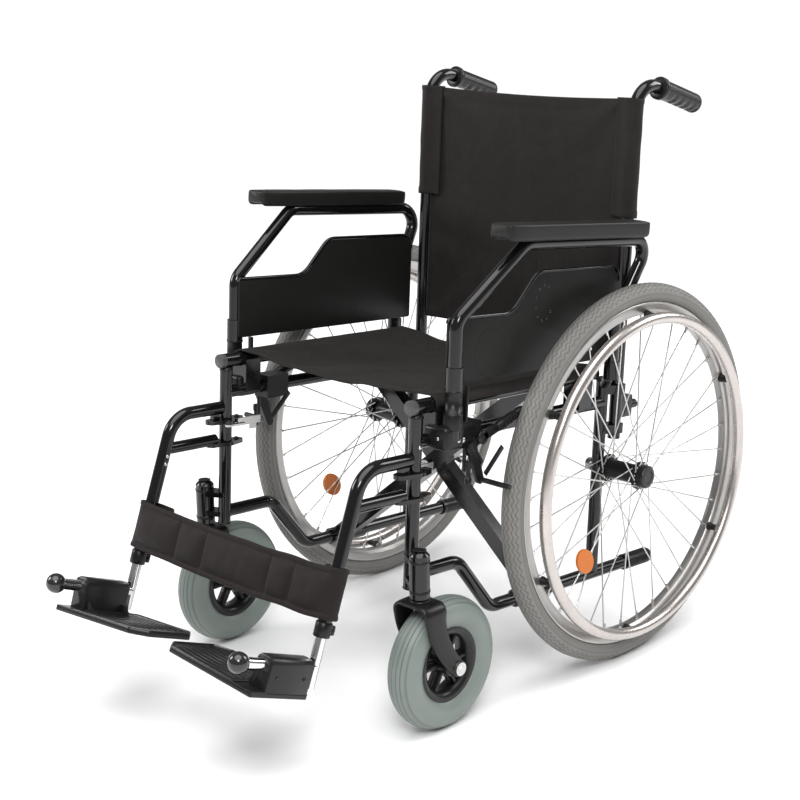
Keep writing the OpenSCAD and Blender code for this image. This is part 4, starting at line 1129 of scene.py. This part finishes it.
def makeFootplate(side, sign):
    s = footplate
    w = s["blockHalf"]
    outline = roundedOutline([(-s["reach"], 22, 5), (-s["reach"], 97, 5), (-s["reach"] + 22, 118.6, 5),
        (w, 118.6, 3), (w, 13.5, 3), (-w - 4, -9.6, 4),
                              (-s["reach"] + 22, 2.2, 5)])
    parts = [plate("footTread", outline, lambda x, v, z: platePoint(sign, x, v, z), s["low"],
        s["low"] + s["plateThick"], 1.6, plastic)]
    rim = roundedOutline([(-s["reach"] + 3, 24, 5), (-s["reach"] + 3, 95, 5),
        (-s["reach"] + 23, 115.4, 5), (-w - 6, 115.4, 3), (-w - 6, -4, 4), (-s["reach"] + 23, 5, 5)])
    rings = []
    for i in range(len(rim) + 1):
        p = rim[i % len(rim)]
        a, b = rim[(i - 1) % len(rim)], rim[(i + 1) % len(rim)]
        tangent = (b - a).normalized()
        normal = Vector((tangent.y, -tangent.x))
        rings.append([platePoint(sign, (p + normal * dn).x, (p + normal * dn).y,
            s["low"] + s["plateThick"] + dz) for dn, dz in
                      ((-2.2, -0.6), (-1.6, 1.0), (1.6, 1.0), (2.2, -0.6))])
    parts.append(keepSharp(band("footRim", rings, plastic), 40))
    blockOutline = roundedOutline([(-w, s["top"], 11), (w, s["top"], 11), (w, s["low"], 6),
        (-w, s["low"], 3)])
    parts.append(plate("footBlock", blockOutline, lambda x, z, v: platePoint(sign, x, v, z),
        s["blockStart"], s["blockEnd"], 3.6, plastic))
    gusset = roundedOutline([(-w - 16, s["low"] + 7, 2), (-w + 2, s["low"] + 26, 4),
        (-w + 2, s["low"] + 7, 2)])
    for v in (86, 20):
        parts.append(plate("footGusset", gusset, lambda x, z, d: platePoint(sign, x, d, z), v - 3, v + 3,
            1, plastic))
    made = merged(f"{side}_foot_rest", parts)
    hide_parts(f"{side}_footplate")
    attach(made, f"{side}_footplate")
    spots = []
    for k in range(s["ribs"]):
        v = 17 + k * 12.2
        spots.append((platePoint(sign, -94, v, s["low"] + s["plateThick"] - 0.4),
            platePoint(sign, -94, v, 10) - platePoint(sign, -94, v, 0)))
    scatter(f"{side}_foot_ribs", spots, treadRib, plastic, f"{side}_footplate")
    out = Vector((sign, 0, 0))
    bolts = [(platePoint(sign, w, v, -12), out) for v in (28, 80)]
    scatter(f"{side}_foot_bolts", bolts, smallScrew, satinBlack, f"{side}_footplate")


# Knobs on the hinge bars
def makeKnob(side, sign):
    centre = footPoint(sign * frameX, 139 - footplate["barMiddle"], 0)
    profile = [(-12.6, 8.4)] + [(-14.8 * math.cos(math.radians(a)),
        14.8 * math.sin(math.radians(a))) for a in range(36, 180, 6)] + [(14.8, 0.01)]
    profile.insert(5, (profile[5][0] - 0.01, profile[5][1] - 0.3))
    knob = lathe(f"{side}_ball_knob", centre, footForward, profile, knobGloss, 48)
    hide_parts(f"{side}_foot_knob")
    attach(knob, f"{side}_foot_tube")
    spots = [(footPoint(sign * frameX, -footplate["barMiddle"] + 2, 9.2), footUp)]
    scatter(f"{side}_bar_bolt", spots, smallScrew, steel, f"{side}_foot_tube")


# Brakes: ribbed lever, link plates, pins and bolts
brake = {"leverX": 238, "pivot": (-320, 100), "rise": 18, "ridges": 6, "ridgePitch": 6,
    "arm": (5.6, 42, 14), "links": (((-270, 74), (-300, 44), 231.5, 9), ((-332, 86), (-312, 62), 230.6, 8)),
    "pinAt": (231, -339, 66),
    "pin": [(0, 4), (2, 4.6), (10, 4.6), (11, 3.4), (24, 3.4), (25, 5), (33, 5), (35, 3.6), (35.2, 0.01)],
    "bolts": ((222, -313, 105.5), (222, -343, 96))}


def makeBrake(side, sign):
    s = brake
    rise = math.radians(s["rise"])
    along = rearward * math.cos(rise) + upward * math.sin(rise)
    pivot = mm(sign * s["leverX"], *s["pivot"])
    profile = [(30, 4.5), (31, 6.6), (36, 7.4)]
    for k in range(s["ridges"]):
        d = 40 + k * s["ridgePitch"]
        profile += [(d, 8.3), (d + 3.2, 8.3), (d + 3.8, 7.5), (d + 5.4, 7.5)]
    profile += [(78, 8.3), (86, 8.2), (90, 7), (92, 4.6), (92.3, 0.01)]
    parts = [keepSharp(lathe("leverGrip", pivot, along, profile, gripRubber, 36), 40)]
    axes = (sidewise, along, sidewise.cross(along))
    parts.append(roundedBox("leverArm", pivot + along * 0.018, axes, s["arm"], 2.4, satinBlack))
    parts.append(lathe("leverEye", pivot - Vector((0.0028, 0, 0)), sidewise,
        [(0, 3.7), (0, 10), (5.6, 10), (5.6, 3.7)], satinBlack, 32))
    lever = merged(f"{side}_brake_handle", parts)
    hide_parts(f"{side}_brake_lever")
    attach(lever, f"{side}_brake_lever")
    body = f"{side}_frame"
    out = Vector((sign, 0, 0))
    parts = []
    for a, b, x, w in s["links"]:  # from, to, how far out and how wide
        p, q = mm(sign * x, *a), mm(sign * x, *b)
        run = (q - p).normalized()
        directions = (sidewise, run, sidewise.cross(run))
        parts.append(roundedBox("brakeLink", (p + q) / 2, directions, (3, (q - p).length * 1000 + w, w),
            1.4, satinBlack))
    x, y, z = s["pinAt"]
    parts.append(lathe("brakePin", mm(sign * x, y, z), -upward, s["pin"], satinBlack, 24))
    links = merged(f"{side}_brake_links", parts)
    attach(links, body)
    bolts = [(mm(sign * x, y, z), out) for x, y, z in s["bolts"]]
    scatter(f"{side}_brake_bolts", bolts, domeHead, steel, body)


# Hangers: end clamp with its bolt, and bolts through the ears
hangerFit = {"corner": (-527, 78), "clampAt": 216, "clampRadius": 11.9, "screws": (62, 74),
    "ears": ((-448, 18, 24), (-402, 18, 24), (-402, 54, 60))}  # along, and the heights of its two faces


def makeHangerFit(side, sign):
    s = hangerFit
    corner = mm(sign * frameX, *s["corner"])
    body = f"{side}_hanger"
    start = corner + tubeDown * ((s["clampAt"] - 6) / 1000)
    radius = s["clampRadius"]
    profile = [(0, 10.2), (0, radius - 1), (1.4, radius), (20, radius), (21.4, radius - 1.2), (21.4, 8.3)]
    parts = [lathe("clampRing", start, tubeDown, profile, satinBlack, 40)]
    parts.append(roundedBox("clampLug", start + tubeDown * 0.011 - tubeFront * 0.015,
        (sidewise, tubeFront, tubeDown), (9, 11, 14), 2, satinBlack))
    clamp = merged(f"{side}_hanger_clamp", parts)
    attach(clamp, body)
    lug = start + tubeDown * 0.011 - tubeFront * 0.016
    spots = [(lug + Vector((m * 0.0045, 0, 0)), Vector((m, 0, 0))) for m in (-1, 1)]
    scatter(f"{side}_clamp_bolts", spots, smallScrew, satinBlack, body)
    spots = []
    for y, low, high in s["ears"]:
        spots.append((mm(sign * frameX, y, high), upward))
        spots.append((mm(sign * frameX, y, low), -upward))
    scatter(f"{side}_ear_bolts", spots, domeHead, satinBlack, body)
    spots = [(corner + tubeDown * (d / 1000) - Vector((sign * 0.0098, 0, 0)),
        Vector((-sign, 0, 0))) for d in s["screws"]]
    scatter(f"{side}_hanger_screws", spots, smallScrew, steel, body)


# Frame fittings: receiver blocks, plugs in the uprights, and bolts
frameFit = {"post": 235, "postY": -382, "frontPost": -424, "plugAt": 136.5, "footAt": -109.5,
    "receiver": (46, 40, 34), "receiverTab": (10, 4, 52),
    "plug": [(0, 10.6), (1.5, 10.8), (3, 10.4), (5.5, 8.4), (7, 5), (7.4, 0.01)],
    "foot": [(0, 10.6), (1.5, 10.7), (3, 9.6), (3.6, 6), (3.7, 0.01)],
    "ring": [(0, 10.2), (0, 13.4), (2, 14), (22, 14), (24, 13), (24, 12.1), (52, 12.1), (53, 12.9),
        (56, 12.9), (56.4, 12), (56.4, 10.2)],
    "capTop": [(0, 10), (0.4, 9), (1.6, 5), (2, 0.01)], "capAt": 0.2825,
    "housing": [(-2.2, 14.4), (-1.8, 15.1), (1.8, 15.1), (2.2, 14.4)], "housingAt": (0.222, 0.266)}


def makeFrameFit(side, sign):
    s = frameFit
    body = f"{side}_frame"
    parts = [roundedBox("receiver", mm(sign * 221, -384, 108), frameAxes, s["receiver"], 7, satinBlack,
        4)]
    parts.append(lathe("receiverRing", mm(sign * s["post"], s["postY"], 120), upward, s["ring"],
        satinBlack, 40))
    parts.append(roundedBox("receiverTab", mm(sign * 231, -352, 152), frameAxes, s["receiverTab"], 1.6,
        satinBlack))
    for y in (s["frontPost"], 0):
        parts.append(lathe("topPlug", mm(sign * frameX, y, s["plugAt"]), upward, s["plug"], plastic, 36))
    parts.append(lathe("frontFoot", mm(sign * frameX, s["frontPost"], s["footAt"]), -upward, s["foot"],
        plastic, 36))
    fittings = merged(f"{side}_frame_fittings", parts)
    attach(fittings, body)
    spots = [(mm(sign * 228, -403.6, 108), -rearward),
        (mm(sign * 243.6, -376, 104), Vector((sign, 0, 0))),
        (mm(sign * 215, -424.5, 96), Vector((sign, 0, 0)))]
    scatter(f"{side}_receiver_screws", spots, smallScrew, steel, body)
    parts = [lathe("capTop", Vector((sign * stem.x, stem.y, s["capAt"])), skyward, s["capTop"], plastic,
        36)]
    for z in s["housingAt"]:
        spot = Vector((sign * stem.x, stem.y, z))
        parts.append(lathe("housingRing", spot, skyward, s["housing"], satinBlack, 48))
    rings = merged(f"{side}_housing_rings", parts)
    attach(rings, body)
    low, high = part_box(f"{side}_caster_axle")
    nuts = [(Vector((low.x + 0.004, casterHub.y, casterHub.z)), -sidewise),
            (Vector((high.x - 0.004, casterHub.y, casterHub.z)), sidewise)]
    scatter(f"{side}_axle_nuts", nuts, hexHead, steel, f"{side}_caster_fork")


# Rear rims: a rolled edge either side of a channel, with a bright bead where the tyre seats
rearRim = {"outer": 270, "inner": 252, "half": 12}


def makeRearRim(side, sign):
    s = rearRim
    o, i, w = s["outer"], s["inner"], s["half"]
    profile = [(-w * 0.45, i), (-w * 0.62, i + 0.6), (-w + 1.2, i + 6.2), (-w, i + 8), (-w, o - 3),
        (-w - 0.9, o - 1.6), (-w - 0.9, o + 0.6), (-w, o + 1.4),
               (-w + 2.4, o + 0.8), (-w + 2.6, i + 8), (-4, i + 3), (4, i + 3), (w - 2.6, i + 8),
               (w - 2.4, o + 0.8), (w, o + 1.4), (w + 0.9, o + 0.6),
               (w + 0.9, o - 1.6), (w, o - 3), (w, i + 8), (w - 1.2, i + 6.2), (w * 0.62, i + 0.6),
               (w * 0.45, i)]
    rim = keepSharp(wheelRing(f"{side}_rim_channel", profile, Vector((sign * axle.x, axle.y, axle.z)),
        192, rimAlloy), 50)
    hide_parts(f"{side}_rear_rim")
    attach(rim, f"{side}_wheel")


def makeRailPlug(side, sign, body):
    spot = mm(sign * frameX, -438, 152)
    profile = [(-1, 9.5), (-1.6, 0.01)][::-1] + [(-0.6, 10.6), (0.4, 11), (8, 11)]
    plug = keepSharp(lathe(f"{side}_plug_cap", spot, rearward, profile, plugGrey, 40), 40)
    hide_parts(f"{side}_rail_plug")
    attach(plug, body)


slotPill = pattern("slotPill", [(-0.4, 3.4), (0.5, 3.4), (0.75, 3.0), (0.75, 0.01)], 12)
for vertex in slotPill.data.vertices:
    vertex.co.x *= 0.55
treadRib = roundedBox("treadRib", Vector((0, 0, 0)), (sidewise, Vector((0, 1, 0)), skyward),
    (122, 5.2, 3), 0.9, plastic, 1)
knobGloss = makeMaterial("knobGloss", (0.011, 0.011, 0.0115), (0.016, 0.016, 0.016), 0.18, coat=0.5,
    grainStrength=0.02, specular=0.4)
plugGrey = makeMaterial("plugGrey", (0.06, 0.06, 0.062), (0.045, 0.045, 0.046), 0.35, grainStrength=0.1)

for side, sign in sides:
    makePushGrip(side, sign)
    makeTipCap(side, sign)
    makeArmPad(side, sign)
    makeSidePanel(side, sign)
    makeFootplate(side, sign)
    makeKnob(side, sign)
    makeBrake(side, sign)
    makeHangerFit(side, sign)
    makeFrameFit(side, sign)
    makeRearRim(side, sign)
makeRailPlug("left", 1, "right_brace")
makeRailPlug("right", -1, "left_brace")
print("stage: fittings")
sleeves = [makeBackSleeve(side, sign) for side, sign in sides]
backPanel = makeBackPanel()
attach(backPanel, "left_frame")
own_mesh(backPanel)
makeSeat()
calfStrap = makeCalfStrap()
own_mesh(calfStrap)
print("stage: soft goods")
for shape in (hexHead, domeHead, smallScrew, nipple, standoff, spokeHead, slotPill, treadRib):
    bpy.data.objects.remove(shape)


# Camera, light and floor
view = {"azimuth": 44.41, "elevation": 14.93, "roll": -0.41, "distance": 2.5893, "lens": 73.87,
        "aim": (-0.02435, -0.21304, 0.40641)}
azimuth, elevation = math.radians(view["azimuth"]), math.radians(view["elevation"])
aim = Vector((view["aim"][0], axle.y + view["aim"][1], view["aim"][2]))
outward = Vector((math.sin(azimuth) * math.cos(elevation), -math.cos(azimuth) * math.cos(elevation),
    math.sin(elevation)))
cameraData = bpy.data.cameras.new("camera")
cameraData.lens = view["lens"]
cameraData.sensor_width = 36
cameraData.clip_end = 200
camera = link(bpy.data.objects.new("camera", cameraData))
turn = (-outward).to_track_quat("-Z",
    "Y").to_matrix().to_4x4() @ Matrix.Rotation(math.radians(view["roll"]), 4, "Z")
camera.matrix_world = Matrix.Translation(aim + outward * view["distance"]) @ turn
bpy.context.scene.camera = camera

world = bpy.data.worlds.new("studio")
world.use_nodes = True
world.node_tree.nodes["Background"].inputs["Color"].default_value = (1, 1, 1, 1)
world.node_tree.nodes["Background"].inputs["Strength"].default_value = 0.26
bpy.context.scene.world = world
bpy.context.scene.view_settings.view_transform = "Standard"

floorMaterial = makeMaterial("studioFloor", (0.95, 0.95, 0.955), (0.96, 0.96, 0.965), 0.7,
    grainStrength=0.0)
floor = meshObject("floor", [(-60, -60, 0), (60, -60, 0), (60, 60, 0), (-60, 60, 0)], [(0, 1, 2, 3)],
    floorMaterial, False)

lights = (
    {"name": "keySoftbox", "kind": "AREA", "at": (2.2, -2.2, 2.6), "size": 0.9, "power": 60},
    {"name": "sideSoftbox", "kind": "AREA", "at": (-2.6, -1.8, 1.9), "size": 1.2, "power": 45},
    {"name": "rearSoftbox", "kind": "AREA", "at": (1.4, 2.6, 2.2), "size": 1.4, "power": 45},
    {"name": "ceiling", "kind": "SUN", "at": (0.5, -0.6, 4), "size": math.radians(60), "power": 2.9},
)
for light in lights:
    data = bpy.data.lights.new(light["name"], light["kind"])
    data.energy = light["power"]
    if light["kind"] == "SUN":
        data.angle = light["size"]
    else:
        data.size = light["size"]
    lamp = link(bpy.data.objects.new(light["name"], data))
    lamp.location = light["at"]
    lamp.rotation_euler = (Vector((0, 0, 0.4)) - lamp.location).to_track_quat("-Z", "Y").to_euler()
print("stage: camera, light and floor")
